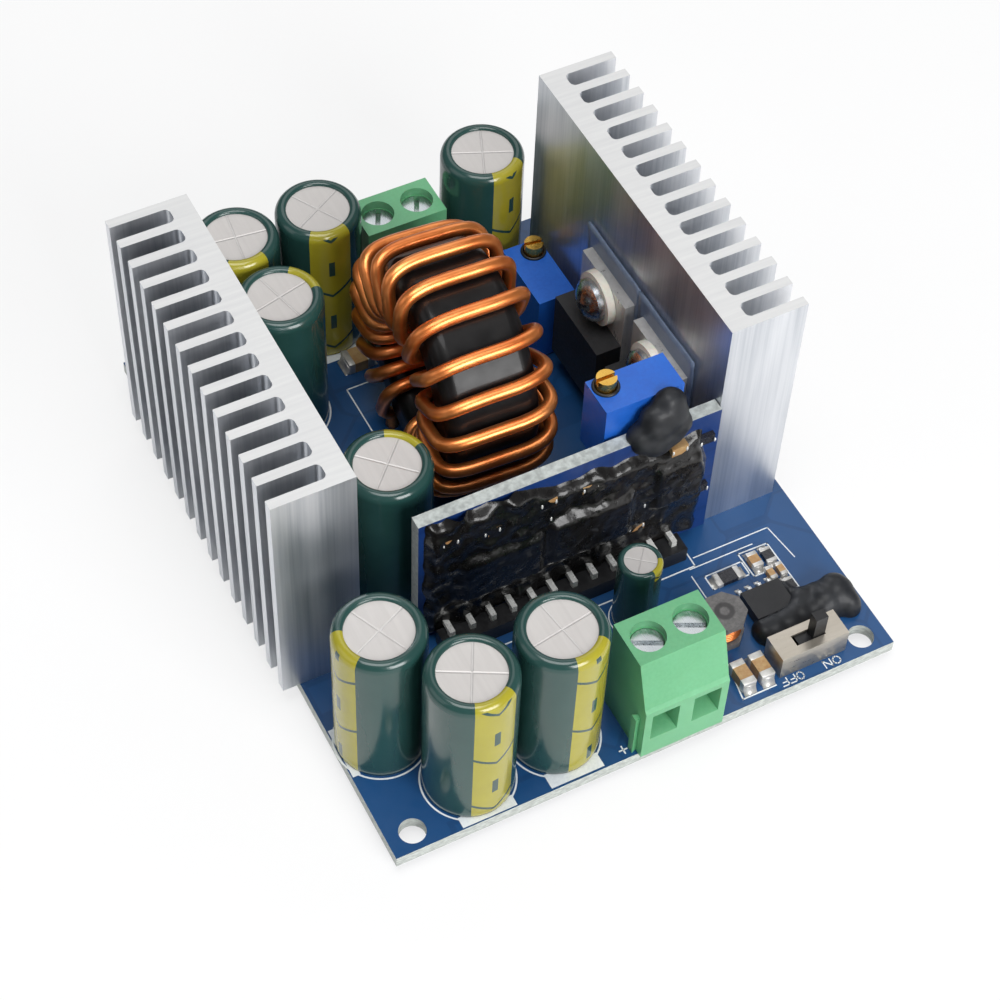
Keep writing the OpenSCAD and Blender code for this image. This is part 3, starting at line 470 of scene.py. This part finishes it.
def melt(name, corner, balls, lump, scale, floor_z=None):
    """Joins balls, given as ((x, y, z from the corner), radii), into one smooth lumpy skin."""
    mesh = bmesh.new()
    for place, radii in balls:
        centre = Vector(corner[k] + place[k] * MM for k in range(3))
        for vertex in bmesh.ops.create_icosphere(mesh, subdivisions=4, radius=1.0)["verts"]:
            vertex.co = centre + Vector(vertex.co[k] * radii[k] * MM for k in range(3))
    obj = piece(name, mesh, "sealant", material=MATERIALS["sealant_dull"])
    joined = obj.modifiers.new("Join", "REMESH")
    joined.mode = "VOXEL"
    joined.voxel_size = 0.22 * MM
    even = obj.modifiers.new("Even", "SMOOTH")
    even.iterations = 20
    skin = bpy.data.meshes.new_from_object(obj.evaluated_get(bpy.context.evaluated_depsgraph_get()))
    obj.modifiers.clear()
    obj.data = skin
    for vertex in skin.vertices:
        push = (noise.noise(vertex.co / (scale * MM))
                + 0.4 * noise.noise(vertex.co / (0.4 * scale * MM)))
        vertex.co += vertex.normal * push * lump * MM
        if floor_z is not None:
            vertex.co.z = max(vertex.co.z, floor_z)
    skin.shade_smooth()


# ---- Capacitors ----

# Where each yellow band faces, in degrees from +X, and how far down its first chevron points (mm)
BANDS = {"input_sleeve_1": (186, 5.0), "input_sleeve_2": (-84, 1.5), "input_sleeve_3": (-70, 4.6),
         "middle_sleeve": (40, 4.0), "output_sleeve_1": (-95, 3.5), "output_sleeve_2": (-97, 0.9),
         "output_sleeve_3": (-72, 0.9), "output_sleeve_4": (22, 3.0), "small_sleeve": (-50, 3.0)}


def lathe(mesh, centre, profile):
    """Turns a half section, given as (radius, z), round the upright line through centre."""
    sides = 96
    rings = []
    for radius, z in profile:
        turns = [2 * math.pi * k / sides for k in range(sides)] if radius else [0]
        rings.append([mesh.verts.new((centre.x + radius * math.cos(t),
                                      centre.y + radius * math.sin(t), z)) for t in turns])
    for a, b in zip(rings, rings[1:]):
        for k in range(sides):
            corners = [a[k % len(a)], a[(k + 1) % len(a)], b[(k + 1) % len(b)], b[k % len(b)]]
            mesh.faces.new(list(dict.fromkeys(corners)))


def arc(radius, z, across, up):
    """A quarter of an ellipse from its outer side to its top."""
    steps = 10
    turns = [math.pi / 2 * k / steps for k in range(steps + 1)]
    return [(radius + across * math.cos(t), z + up * math.sin(t)) for t in turns]


def make_capacitors():
    """Each can, with its vent, and the sleeve that is shrunk over its shoulder.

    The unit is a tenth of the diameter, which is 1 mm on a large capacitor."""
    for index, (node, (angle, first_mark)) in enumerate(BANDS.items()):
        lo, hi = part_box(node)
        centre, radius = (lo + hi) / 2, (hi.x - lo.x) / 2
        unit = radius / 5
        can = node.replace("sleeve", "can")
        mesh = bmesh.new()
        disc = hi.z - 0.36 * unit
        lathe(mesh, centre, [(0, lo.z), (radius - 0.2 * unit, lo.z)]
              + arc(radius - 1.1 * unit, hi.z - 1.5 * unit, 0.9 * unit, 1.16 * unit)
              + [(radius - 1.3 * unit, disc), (0, disc)])
        piece(can + "_top", mesh, "can_aluminium", [can],
              disc_finish(can + "_top", centre, 25 + 37 * index, unit / MM))
        mesh = bmesh.new()
        lathe(mesh, centre, [(radius - 0.5 * unit, lo.z), (radius - 0.14 * unit, lo.z + 0.12 * unit),
                             (radius - 0.03 * unit, lo.z + 0.6 * unit), (radius, lo.z + 1.4 * unit)]
              + arc(radius - 0.92 * unit, hi.z - 1.15 * unit, 0.92 * unit, 1.15 * unit)
              + [(radius - 1.2 * unit, hi.z - 0.06 * unit),
                 (radius - 1.33 * unit, hi.z - 0.22 * unit),
                 (radius - 1.35 * unit, hi.z - 0.52 * unit)])
        # The small capacitor has only the start of a band, the others have it to the foot
        length = 1.4 * MM if node == "small_sleeve" else 1.0
        piece(node + "_skin", mesh, SLOT_OF[node], [node],
              sleeve_finish(node, centre, radius, hi.z, angle, first_mark, radius / (5 * MM), length))


make_capacitors()

# ---- Edges of the moulded and machined pieces ----

# How far each is rounded off, in millimetres
EDGES = {"input_terminal_housing": 0.25, "output_terminal_housing": 0.25,
         "voltage_trimmer_body": 0.2, "current_trimmer_body": 0.2,
         "mosfet_1": 0.2, "mosfet_2": 0.2, "rectifier": 0.2,
         "integrated_circuits": 0.08, "chip_capacitors": 0.1, "chip_resistors": 0.06,
         "switch_shell": 0.2, "switch_slider": 0.12, "header_strip": 0.1, "header_pins": 0.12,
         "choke_drum": 0.15, "transistor_tabs": 0.08, "circuit_board": 0.05, "control_board": 0.05,
         "heatsink_left": 0.1, "heatsink_right": 0.1, "insulating_bushes": 0.12,
         "fixing_screws": 0.08, "voltage_trimmer_screw": 0.1, "current_trimmer_screw": 0.1}
for name, width in EDGES.items():
    soften(nodes[name], width)

# ---- Winding of the large choke: one wire, wound round and round the standing core ----

# Lengths are in millimetres and angles in degrees. The gap in the winding is at the foot
WIRE_D, TURNS = 1.6, 18
LOOP_MIDDLE, LOOP_HALF_DEPTH, LOOP_HALF_WIDTH = 10.25, 4.1, 6.75
WINDING_GAP, WINDING_PHASE, YAW = 32, 4, -4
LOOP_POINTS, LOOP_START, FIRST_POINT, POINTS_LEFT_OUT = 40, 0.03, 3, 5
LOOP_POWER = 0.5


def signed_power(value, power):
    """A power that keeps the sign. Of a sine and cosine it makes a circle into a rounded box."""
    return math.copysign(abs(value) ** power, value)


def make_winding():
    """The turns, a little uneven as if wound by hand, and both ends down to the board."""
    lo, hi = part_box("toroid_core")
    centre = (lo + hi) / 2
    turn_to_board = Matrix.Rotation(math.radians(YAW), 3, "Z")
    first = -90 + WINDING_GAP / 2 + WINDING_PHASE
    pitch = (360 - WINDING_GAP) / TURNS
    route = []
    for i in range(FIRST_POINT, TURNS * LOOP_POINTS - POINTS_LEFT_OUT):
        t = i / LOOP_POINTS
        u = 2 * math.pi * (t + LOOP_START)
        uneven = (0.9 * noise.noise(Vector((t * 0.45, 3.7, 0)))
                  + 0.5 * noise.noise(Vector((t * 1.7, 0, 9.1))))
        angle = math.radians(first + t * pitch + 2.4 * uneven)
        bulge = 0.16 * noise.noise(Vector((t * 0.9, 8.3, 2.2)))
        away = LOOP_MIDDLE + (LOOP_HALF_DEPTH + bulge) * signed_power(math.cos(u), LOOP_POWER)
        side = (LOOP_HALF_WIDTH + bulge) * signed_power(math.sin(u), LOOP_POWER)
        local = Vector((-side, away * math.cos(angle), away * math.sin(angle))) * MM
        route.append(centre + turn_to_board @ local)
    ends = []
    for end in (route[0], route[-1]):
        foot = Vector((end.x, end.y, BOARD_TOP + 0.05 * MM))
        ends.append([end.lerp(foot, s) for s in (0.25, 0.5, 0.75, 1.0)])
    mesh = bmesh.new()
    tube(mesh, ends[0][::-1] + route + ends[1], WIRE_D / 2 * MM, 14)
    piece("choke_wire", mesh, "copper_wire", ["toroid_winding"])


make_winding()

# ---- Winding of the small choke ----

def make_coil():
    """One layer of fine wire round the drum."""
    lo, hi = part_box("choke_drum_winding")
    centre = (lo + hi) / 2
    wire, rows, points = 0.42 * MM, 6, 36
    reach = (hi.x - lo.x) / 2 - wire / 2
    rise = (hi.z - lo.z - wire) / rows
    route = []
    for i in range(rows * points + 1):
        a = math.radians(i * 360 / points)
        route.append(Vector((centre.x + reach * math.cos(a), centre.y + reach * math.sin(a),
                             lo.z + wire / 2 + rise * i / points)))
    mesh = bmesh.new()
    tube(mesh, route, wire / 2, 8)
    piece("small_choke_wire", mesh, "copper_wire", ["choke_drum_winding"])


make_coil()

# ---- Black sealant: the coat on the control board, the driver's bead and the trimmer's drop ----

def ease(value, low, high):
    """From 0 at low to 1 at high, with a level start and end."""
    t = min(1.0, max(0.0, (value - low) / (high - low)))
    return t * t * (3 - 2 * t)


# In millimetres: how far a chip's lump spreads, where the coat's foot is, the width of its
# rounded rim and the step of its grid. The grid is averaged with its neighbours by the passes
LUMP_REACH, COAT_FOOT, COAT_RIM, COAT_STEP, COAT_PASSES = 2.2, 1.2, 0.8, 0.2, 2


def make_coat():
    """The coat as a height over the control board's face, and the chip ends that pierce it."""
    lo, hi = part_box("control_board")
    width, height = (hi.x - lo.x) / MM, (hi.z - lo.z) / MM
    lumps = []
    covers = {"integrated_circuits": 0.05, "chip_capacitors": 0.03, "chip_resistors": 0.25}
    for node, cover in covers.items():
        for a, b in solids(node):
            if abs(b.y - lo.y) < 0.4 * MM and a.z > BOARD_TOP + 2 * MM:
                lumps.append(((a.x - lo.x) / MM, (b.x - lo.x) / MM, (a.z - lo.z) / MM,
                              (b.z - lo.z) / MM, (lo.y - a.y) / MM + cover))

    def wave(u, v, size, seed):
        return noise.noise(Vector((u / size, v / size, seed)))

    def depth(u, v):
        left = 1.0 + 0.4 * wave(0, v, 1.9, 1.5)
        right = 1.7 + 0.7 * wave(0, v, 2.6, 5.5) + 0.6 * ease(v, 12, 18)
        top = 0.4 + 2.1 * ease(u, 9, 17) + 1.1 * wave(u, 0, 2.4, 7.5)
        inside = min(u - left, width - right - u, height - top - v, v - COAT_FOOT)
        if inside < 0:
            return max(-0.1, inside)
        rim = min(1.0, inside / COAT_RIM)
        thick = 1.0 + 0.45 * wave(u, v, 2.7, 2.5) + 0.4 * wave(u, v, 1.2, 3.5)
        for x0, x1, z0, z1, rise in lumps:
            gap = math.hypot(max(x0 - u, u - x1, 0), max(z0 - v, v - z1, 0))
            thick = max(thick, (rise + 0.12 * wave(u, v, 0.8, 6.5)) * (1 - ease(gap, 0, LUMP_REACH)))
        return thick * math.sqrt(1 - (1 - rim) ** 2)

    step = COAT_STEP
    columns, rows = int(width / step), int(height / step)
    field = [[depth(i * step, j * step) for j in range(rows + 1)] for i in range(columns + 1)]
    for _ in range(COAT_PASSES):
        field = [[sum(field[min(max(i + a, 0), columns)][min(max(j + b, 0), rows)]
                      for a in (-1, 0, 1) for b in (-1, 0, 1)) / 9
                  for j in range(rows + 1)] for i in range(columns + 1)]
    mesh = bmesh.new()
    grid = [[mesh.verts.new((lo.x + i * step * MM, lo.y - field[i][j] * MM, lo.z + j * step * MM))
             for j in range(rows + 1)] for i in range(columns + 1)]
    for i in range(columns):
        for j in range(rows):
            if max(field[i][j], field[i + 1][j], field[i][j + 1], field[i + 1][j + 1]) > -0.02:
                mesh.faces.new((grid[i][j], grid[i + 1][j], grid[i + 1][j + 1], grid[i][j + 1]))
    bmesh.ops.delete(mesh, geom=[v for v in mesh.verts if not v.link_faces], context="VERTS")
    piece("control_coat", mesh, "sealant", ["black_sealant"])
    glints = bmesh.new()
    for x0, x1, z0, z1, rise in lumps:
        if x1 - x0 < 3:
            for u in (x0 + 0.15, x1 - 0.15):
                centre = Vector((lo.x + u * MM, lo.y - rise * MM, lo.z + (z0 + z1) / 2 * MM))
                lumpy_ball(glints, centre, (0.14, 0.1, 0.36), 2, 0.3, 1.3, 1100)
    piece("coat_glints", glints, "tin")


# Balls that melt together: place and radii in millimetres. The bead's places are from the middle
# of the switch on the board, the drop's from the trimmer's front at the control board's top
BEAD = (((-2.9, 4.0, 0.5), (1.3, 1.7, 1.6)), ((-1.5, 3.8, 0.6), (1.8, 1.9, 1.6)),
        ((0.3, 3.8, 0.6), (2.0, 2.0, 1.7)), ((2.0, 4.2, 0.6), (2.0, 2.1, 1.8)),
        ((3.1, 5.6, 0.3), (2.0, 2.0, 2.0)), ((3.8, 3.9, 0.4), (2.2, 2.0, 2.1)),
        ((5.4, 4.3, 0.6), (2.4, 2.2, 2.5)), ((6.9, 4.7, 0.7), (2.2, 2.6, 2.7)),
        ((7.6, 3.2, 0.4), (1.5, 1.7, 2.2)), ((2.4, 7.6, 0.0), (0.9, 1.8, 1.5)),
        ((5.0, 5.6, 0.2), (2.2, 1.8, 2.1)))
DROP = (((-1.0, -1.1, 0.4), (1.9, 1.5, 1.5)), ((0.6, -1.1, 0.9), (2.5, 1.8, 2.1)),
        ((2.0, -1.0, 1.8), (2.5, 1.8, 2.5)), ((2.3, -0.5, 3.3), (2.0, 1.6, 1.9)),
        ((0.4, -2.2, -0.8), (2.2, 0.9, 1.9)), ((3.2, -1.4, 0.5), (1.7, 1.5, 1.7)),
        ((1.6, -1.8, -0.7), (2.6, 1.1, 1.9)), ((0.8, -0.9, 2.3), (2.2, 1.6, 1.8)),
        ((-0.8, -1.8, -0.5), (1.8, 1.1, 1.6)))


def make_beads():
    """The bead between the driver and the switch, and the drop on the voltage trimmer."""
    lo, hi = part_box("switch_shell")
    corner = ((lo.x + hi.x) / 2, (lo.y + hi.y) / 2, BOARD_TOP)
    melt("driver_bead", corner, BEAD, 0.05, 3.2, floor_z=BOARD_TOP + 0.01 * MM)
    lo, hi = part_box("voltage_trimmer_body")
    corner = ((lo.x + hi.x) / 2, lo.y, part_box("control_board")[1].z)
    melt("trimmer_drop", corner, DROP, 0.12, 2.6)


make_coat()
make_beads()

# ---- Chips: tinned ends, legs and solder ----

def fillet(mesh, x, y, out, width, height, reach):
    """A concave ramp of solder that leans on a vertical end and runs out in a direction."""
    out = Vector((out[0], out[1], 0))
    aside = Vector((-out.y, out.x, 0))
    foot = Vector((x, y, BOARD_TOP + 0.01 * MM))
    profile = [(math.sin(math.radians(a)), 1 - math.cos(math.radians(a)))
               for a in (90, 70, 50, 30, 12, 0)]
    sides = []
    for half in (-0.5, 0.5):
        edge = foot + aside * width * half
        row = [mesh.verts.new(edge + out * reach * (1 - s) + Vector((0, 0, height * c)))
               for s, c in reversed(profile)]
        row.append(mesh.verts.new(edge))
        sides.append(row)
    a, b = sides
    for i in range(len(a)):
        j = (i + 1) % len(a)
        mesh.faces.new((a[i], a[j], b[j], b[i]))
    mesh.faces.new(a)
    mesh.faces.new(b[::-1])


def on_main_board(node):
    """The solids of a node that lie on the main board, not on the control board."""
    return [(a, b) for a, b in solids(node) if a.z < BOARD_TOP + 1 * MM]


def make_chip_ends():
    """Tinned caps over both ends of each chip, with solder in front of them.

    The share is of the chip's length, and the climb of its height."""
    mesh = bmesh.new()
    film = 0.03 * MM
    for node, share, climb in (("chip_capacitors", 0.24, 0.75), ("chip_resistors", 0.2, 0.95)):
        for a, b in on_main_board(node):
            size = b - a
            k = 0 if size.x > size.y else 1
            other = 1 - k
            cap = size[k] * share
            height = size.z * climb
            for end, away in ((a[k], -1), (b[k], 1)):
                low, high = a.copy(), b.copy()
                low[k], high[k] = sorted((end + away * film, end - away * cap))
                low[other] -= film
                high[other] += film
                high.z += film
                block(mesh, low, high, 0.05)
                out = [0, 0]
                out[k] = away
                place = (a + b) / 2
                place[k] = end + away * film
                fillet(mesh, place.x, place.y, out, size[other] * 0.96, height, 0.55 * MM)
    piece("chip_ends", mesh, "tin", material=MATERIALS["chip_tin"])


def make_driver_legs():
    """Tinned legs over the driver's package, four on each long side."""
    mesh = bmesh.new()
    a, b = max(on_main_board("integrated_circuits"), key=lambda box: box[1].x - box[0].x)
    middle = (a.x + b.x) / 2
    for i in range(4):
        x = middle + (i - 1.5) * 1.27 * MM
        for end, away in ((a.y, -1), (b.y, 1)):
            root, tip = end - away * 1.05 * MM, end + away * 0.03 * MM
            low, high = min(root, tip), max(root, tip)
            block(mesh, Vector((x - 0.25 * MM, low, BOARD_TOP)),
                  Vector((x + 0.25 * MM, high, BOARD_TOP + 0.56 * MM)), 0.1)
            fillet(mesh, x, tip, (0, away), 0.6 * MM, 0.42 * MM, 0.5 * MM)
    piece("driver_legs", mesh, "tin")


def make_pin_solder():
    """Blobs of solder where the bent pins meet the control board."""
    board_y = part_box("control_board")[0].y
    mesh = bmesh.new()
    for a, b in solids("header_pins"):
        centre = Vector(((a.x + b.x) / 2, board_y - 0.05 * MM, b.z - 0.3 * MM))
        lumpy_ball(mesh, centre, (0.7, 0.55, 0.85), 3, 0.12, 1.7, 900)
    piece("pin_solder", mesh, "tin")


make_chip_ends()
make_driver_legs()
make_pin_solder()

# ---- Insulating pads: thin sheets that curl away from the heatsink past the package ----

def make_pads():
    """Each pad as two skins and a rim. The first in x is the left one."""
    mesh = bmesh.new()
    steps = 20
    for index, (a, b) in enumerate(sorted(solids("insulating_pads"), key=lambda box: box[0].x)):
        left = index == 0
        inward = 1 if left else -1
        back, front = (a.x, b.x) if left else (b.x, a.x)
        middle, half = (a.y + b.y) / 2, (b.y - a.y) / 2
        tall = b.z - a.z
        grid = {}
        for layer in (0, 1):
            for i in range(steps + 1):
                for j in range(steps + 1):
                    s, t = 2 * i / steps - 1, j / steps
                    edge = ease(abs(s), 0.78, 1.0) * 0.12 + ease(t, 0.8, 1.0) * 0.22
                    ripple = 0.1 * noise.noise(Vector((s * 1.6 + index * 5, t * 2.4, 0.5)))
                    lift = edge * (1 + 0.3 * math.sin(2.2 * s + index)) + max(0.0, ripple * edge * 4)
                    x = (front if layer else back) + inward * lift * MM
                    grid[layer, i, j] = mesh.verts.new((x, middle + s * half, a.z + t * tall))
        for layer in (0, 1):
            for i in range(steps):
                for j in range(steps):
                    mesh.faces.new((grid[layer, i, j], grid[layer, i + 1, j],
                                    grid[layer, i + 1, j + 1], grid[layer, i, j + 1]))
        rim = ([(i, 0) for i in range(steps)] + [(steps, j) for j in range(steps)]
               + [(i, steps) for i in range(steps, 0, -1)] + [(0, j) for j in range(steps, 0, -1)])
        for p, q in zip(rim, rim[1:] + rim[:1]):
            mesh.faces.new((grid[(0,) + p], grid[(0,) + q], grid[(1,) + q], grid[(1,) + p]))
    piece("pad_sheets", mesh, "pad_silicone", ["insulating_pads"])


make_pads()

# ---- Printing on the board ----

# Height over the board, thickness and usual width of a line, in millimetres. No printing comes
# nearer to the board's edge than the margin
PRINT_Z, PRINT_T, PRINT_LINE, PRINT_MARGIN = 0.012, 0.02, 0.17, 0.15
BOARD_W, BOARD_D = ((board_hi - board_lo) / MM)[:2]

# Round a capacitor: the radius of its ring, and the block's start, end and half width
LARGE_RING, SMALL_RING = 5.17, 2.75
BLOCK_START, BLOCK_END, BLOCK_HALF_WIDTH = 3.9, 5.75, 3.2


def stroke(mesh, points, width=PRINT_LINE, closed=False):
    """A printed line of even width through places on the board, with square corners."""
    places = [Vector(p) for p in points]
    pairs = list(zip(places, places[1:] + places[:1])) if closed else list(zip(places, places[1:]))
    for a, b in pairs:
        along = (b - a).normalized() * width / 2
        aside = Vector((-along.y, along.x))
        corners = [a - along - aside, b + along - aside, b + along + aside, a - along + aside]
        low = [mesh.verts.new(at(c.x, c.y, PRINT_Z)) for c in corners]
        high = [mesh.verts.new(at(c.x, c.y, PRINT_Z + PRINT_T)) for c in corners]
        mesh.faces.new(high)
        for i in range(4):
            j = (i + 1) % 4
            mesh.faces.new((low[i], low[j], high[j], high[i]))


def ring(mesh, cx, cy, r, width):
    """A printed circle."""
    steps = 96
    turns = [2 * math.pi * k / steps for k in range(steps)]
    inner, outer = [[mesh.verts.new(at(cx + q * math.cos(t), cy + q * math.sin(t), PRINT_Z))
                     for t in turns] for q in (r - width / 2, r + width / 2)]
    for k in range(steps):
        mesh.faces.new((inner[k], outer[k], outer[(k + 1) % steps], inner[(k + 1) % steps]))


def fill(mesh, points):
    """A filled printed area."""
    mesh.faces.new([mesh.verts.new(at(x, y, PRINT_Z + PRINT_T)) for x, y in points])


# The strokes of each letter, in a square of 1 by 1
GLYPHS = {
    "O": [[(0.3, 0), (0.7, 0), (1, 0.3), (1, 0.7), (0.7, 1), (0.3, 1), (0, 0.7), (0, 0.3), (0.3, 0)]],
    "N": [[(0, 0), (0, 1), (1, 0), (1, 1)]],
    "F": [[(0, 0), (0, 1), (1, 1)], [(0, 0.52), (0.75, 0.52)]],
}


def word(mesh, text, x, y, wide, tall, pitch):
    """Letters seen upside down from the front edge, so that x and y are their last top corner."""
    for index, letter in enumerate(reversed(text)):
        for line in GLYPHS[letter]:
            places = [(x + index * pitch + (1 - u) * wide, y + (1 - v) * tall) for u, v in line]
            stroke(mesh, places, 0.14)


def centre_of(node):
    """The middle of a node's box, as x and y on the board in millimetres."""
    lo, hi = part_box(node)
    return ((lo.x + hi.x) / 2 - board_lo.x) / MM, ((lo.y + hi.y) / 2 - board_lo.y) / MM


def make_printing():
    """All printing in one piece, with a white material."""
    mesh = bmesh.new()
    # ring and polarity block round each capacitor; the block faces the yellow band
    for node, facing in (("input_sleeve_1", 180), ("input_sleeve_2", -90), ("input_sleeve_3", -90),
                         ("middle_sleeve", 0), ("output_sleeve_1", 180), ("output_sleeve_2", -90),
                         ("output_sleeve_3", 0), ("output_sleeve_4", -90)):
        cx, cy = centre_of(node)
        ring(mesh, cx, cy, LARGE_RING, 0.2)
        a = math.radians(facing)
        out, aside = Vector((math.cos(a), math.sin(a))), Vector((-math.sin(a), math.cos(a)))
        shape = [Vector((cx, cy)) + out * u + aside * v
                 for u, v in ((BLOCK_START, -BLOCK_HALF_WIDTH), (BLOCK_END, -BLOCK_HALF_WIDTH),
                              (BLOCK_END, BLOCK_HALF_WIDTH), (BLOCK_START, BLOCK_HALF_WIDTH))]
        fill(mesh, [(min(max(p.x, PRINT_MARGIN), BOARD_W - PRINT_MARGIN),
                     min(max(p.y, PRINT_MARGIN), BOARD_D - PRINT_MARGIN)) for p in shape])
    cx, cy = centre_of("small_sleeve")
    ring(mesh, cx, cy, SMALL_RING, 0.14)
    # resistor box, the outlines round the driver's parts and the lines to the switch
    stroke(mesh, [(46.9, 15.0), (51.7, 15.0), (51.7, 16.95), (46.9, 16.95)], closed=True)
    stroke(mesh, [(51.9, 18.0), (55.7, 17.9), (55.85, 10.3), (54.06, 10.3), (54.06, 14.5),
                  (52.0, 14.5)], closed=True)
    stroke(mesh, [(45.9, 18.55), (54.1, 18.55)], 0.14)
    stroke(mesh, [(47.1, 19.8), (56.9, 19.8), (57.56, 14.9)], 0.14)
    stroke(mesh, [(45.6, 17.6), (45.6, 14.2)], 0.14)
    # outline of the header, and the one beside the two chip capacitors at the edge
    stroke(mesh, [(16.0, 18.75), (46.7, 18.75), (46.7, 21.4)])
    stroke(mesh, [(43.3, 6.0), (42.4, 0.9), (46.6, 0.9)], 0.16)
    # switch positions
    word(mesh, "OFF", 47.3, 0.35, 0.75, 0.9, 1.0)
    word(mesh, "ON", 52.8, 0.35, 0.85, 0.9, 1.15)
    # outline under the large choke
    lo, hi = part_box("toroid_core")
    x0, y0, x1, y1 = ((lo.x - board_lo.x) / MM - 1.2, (lo.y - board_lo.y) / MM + 1,
                      (hi.x - board_lo.x) / MM + 1.2, (hi.y - board_lo.y) / MM - 1)
    stroke(mesh, [(x0, y0), (x1, y0), (x1, y1), (x0, y1)], closed=True)
    # plus and minus at both terminals
    for node, y, order in (("input_terminal_housing", 1.1, 1), ("output_terminal_housing", 73.9, -1)):
        cx, _ = centre_of(node)
        for side in (-1, 1):
            x = cx + side * 6.0
            stroke(mesh, [(x - 0.45, y), (x + 0.45, y)], 0.16)
            if side * order < 0:
                stroke(mesh, [(x, y - 0.45), (x, y + 0.45)], 0.16)
    piece("printing", mesh, "board_blue", material=MATERIALS["print_white"], smooth=False)


make_printing()

# ---- Rubber seals under the adjusters of the trimmers ----

def make_seals():
    """A ring of rubber round the foot of each adjuster, a little clear of it."""
    mesh = bmesh.new()
    for node, body in (("voltage_trimmer_screw", "voltage_trimmer_body"),
                       ("current_trimmer_screw", "current_trimmer_body")):
        lo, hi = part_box(node)
        centre = (lo + hi) / 2
        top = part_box(body)[1].z
        reach, thick = (hi.x - lo.x) / 2 + 0.22 * MM, 0.2 * MM
        route = [Vector((centre.x + reach * math.cos(math.radians(a)),
                         centre.y + reach * math.sin(math.radians(a)), top + 0.08 * MM))
                 for a in range(0, 361, 10)]
        tube(mesh, route, thick, 10)
    piece("adjuster_seals", mesh, "strip_black")


make_seals()

# ---- Floor, lights and camera ----

# Name, azimuth and elevation in degrees, distance and size in metres, power in watts
LAMPS = (("key", 8, 27, 0.6, 0.3, 3.0), ("top", -40, 80, 0.6, 0.35, 1.9),
         ("left", -100, 30, 0.7, 0.5, 0.6), ("back", 150, 45, 0.7, 0.5, 0.9))
WORLD_STRENGTH = 0.18

# The camera that was fitted to the photo. Lengths are in millimetres and angles in degrees
CAMERA_PLACE, CAMERA_TURN = (-83.351, -147.888, 223.8), (37.2796, -1.7565, -27.3378)
CAMERA_LENS, CAMERA_SENSOR = 87.14, 36


def make_floor():
    """A pale floor just under the part. The camera sees it lit through to white."""
    bpy.ops.mesh.primitive_plane_add(size=6, location=(0, 0, cad_box[0].z - 0.05 * MM))
    floor = bpy.context.object
    floor.name = "floor"
    graph = Graph("floor_white", Roughness=0.9, Specular_IOR_Level=0.2)
    speck = graph.noise(40, 3)
    graph.set("Base Color", graph.mix(speck, (0.86, 0.86, 0.86, 1), (0.9, 0.9, 0.9, 1)))
    path = graph.node("LightPath")
    glow = graph.node("Emission")
    glow.inputs["Strength"].default_value = 1.0
    mixer = graph.node("MixShader")
    seen = graph.math("MAXIMUM", path.outputs["Is Camera Ray"],
                      graph.math("MULTIPLY", path.outputs["Is Transmission Ray"], 0.5))
    graph.put(mixer.inputs[0], graph.math("MULTIPLY", seen, 0.72))
    graph.put(mixer.inputs[1], graph.shader.outputs[0])
    graph.put(mixer.inputs[2], glow.outputs[0])
    out = graph.tree.nodes["Material Output"]
    graph.put(out.inputs["Surface"], mixer.outputs[0])
    dress(floor, graph.material)


def make_world():
    """A dim bluish sky for the object, and plain white for the camera."""
    world = bpy.data.worlds.new("studio")
    scene.world = world
    world.use_nodes = True
    tree = world.node_tree
    plain = tree.nodes["Background"]
    plain.inputs["Color"].default_value = (0.93, 0.96, 1.0, 1)
    plain.inputs["Strength"].default_value = WORLD_STRENGTH
    white = tree.nodes.new("ShaderNodeBackground")
    white.inputs["Strength"].default_value = 1.0
    path = tree.nodes.new("ShaderNodeLightPath")
    mixer = tree.nodes.new("ShaderNodeMixShader")
    tree.links.new(path.outputs["Is Camera Ray"], mixer.inputs[0])
    tree.links.new(plain.outputs[0], mixer.inputs[1])
    tree.links.new(white.outputs[0], mixer.inputs[2])
    tree.links.new(mixer.outputs[0], tree.nodes["World Output"].inputs["Surface"])


def area_light(name, azimuth, elevation, distance, size, power):
    """A square lamp aimed at the middle of the board. Azimuth 0 is in front, 90 at the right."""
    a, e = math.radians(azimuth), math.radians(elevation)
    aim = Vector((0, 0, 0.012))
    offset = Vector((math.sin(a) * math.cos(e), -math.cos(a) * math.cos(e), math.sin(e)))
    data = bpy.data.lights.new(name, "AREA")
    data.size = size
    data.energy = power
    lamp = bpy.data.objects.new(name, data)
    lamp.location = aim + offset * distance
    lamp.rotation_euler = offset.to_track_quat("Z", "Y").to_euler()
    scene.collection.objects.link(lamp)


def make_camera():
    data = bpy.data.cameras.new("camera")
    data.sensor_width = CAMERA_SENSOR
    data.lens = CAMERA_LENS
    data.clip_start = 0.01
    camera = bpy.data.objects.new("camera", data)
    camera.location = [v * MM for v in CAMERA_PLACE]
    camera.rotation_euler = [math.radians(v) for v in CAMERA_TURN]
    scene.collection.objects.link(camera)
    scene.camera = camera


make_floor()
make_world()
for lamp in LAMPS:
    area_light(*lamp)
make_camera()

scene.view_settings.view_transform = "Standard"
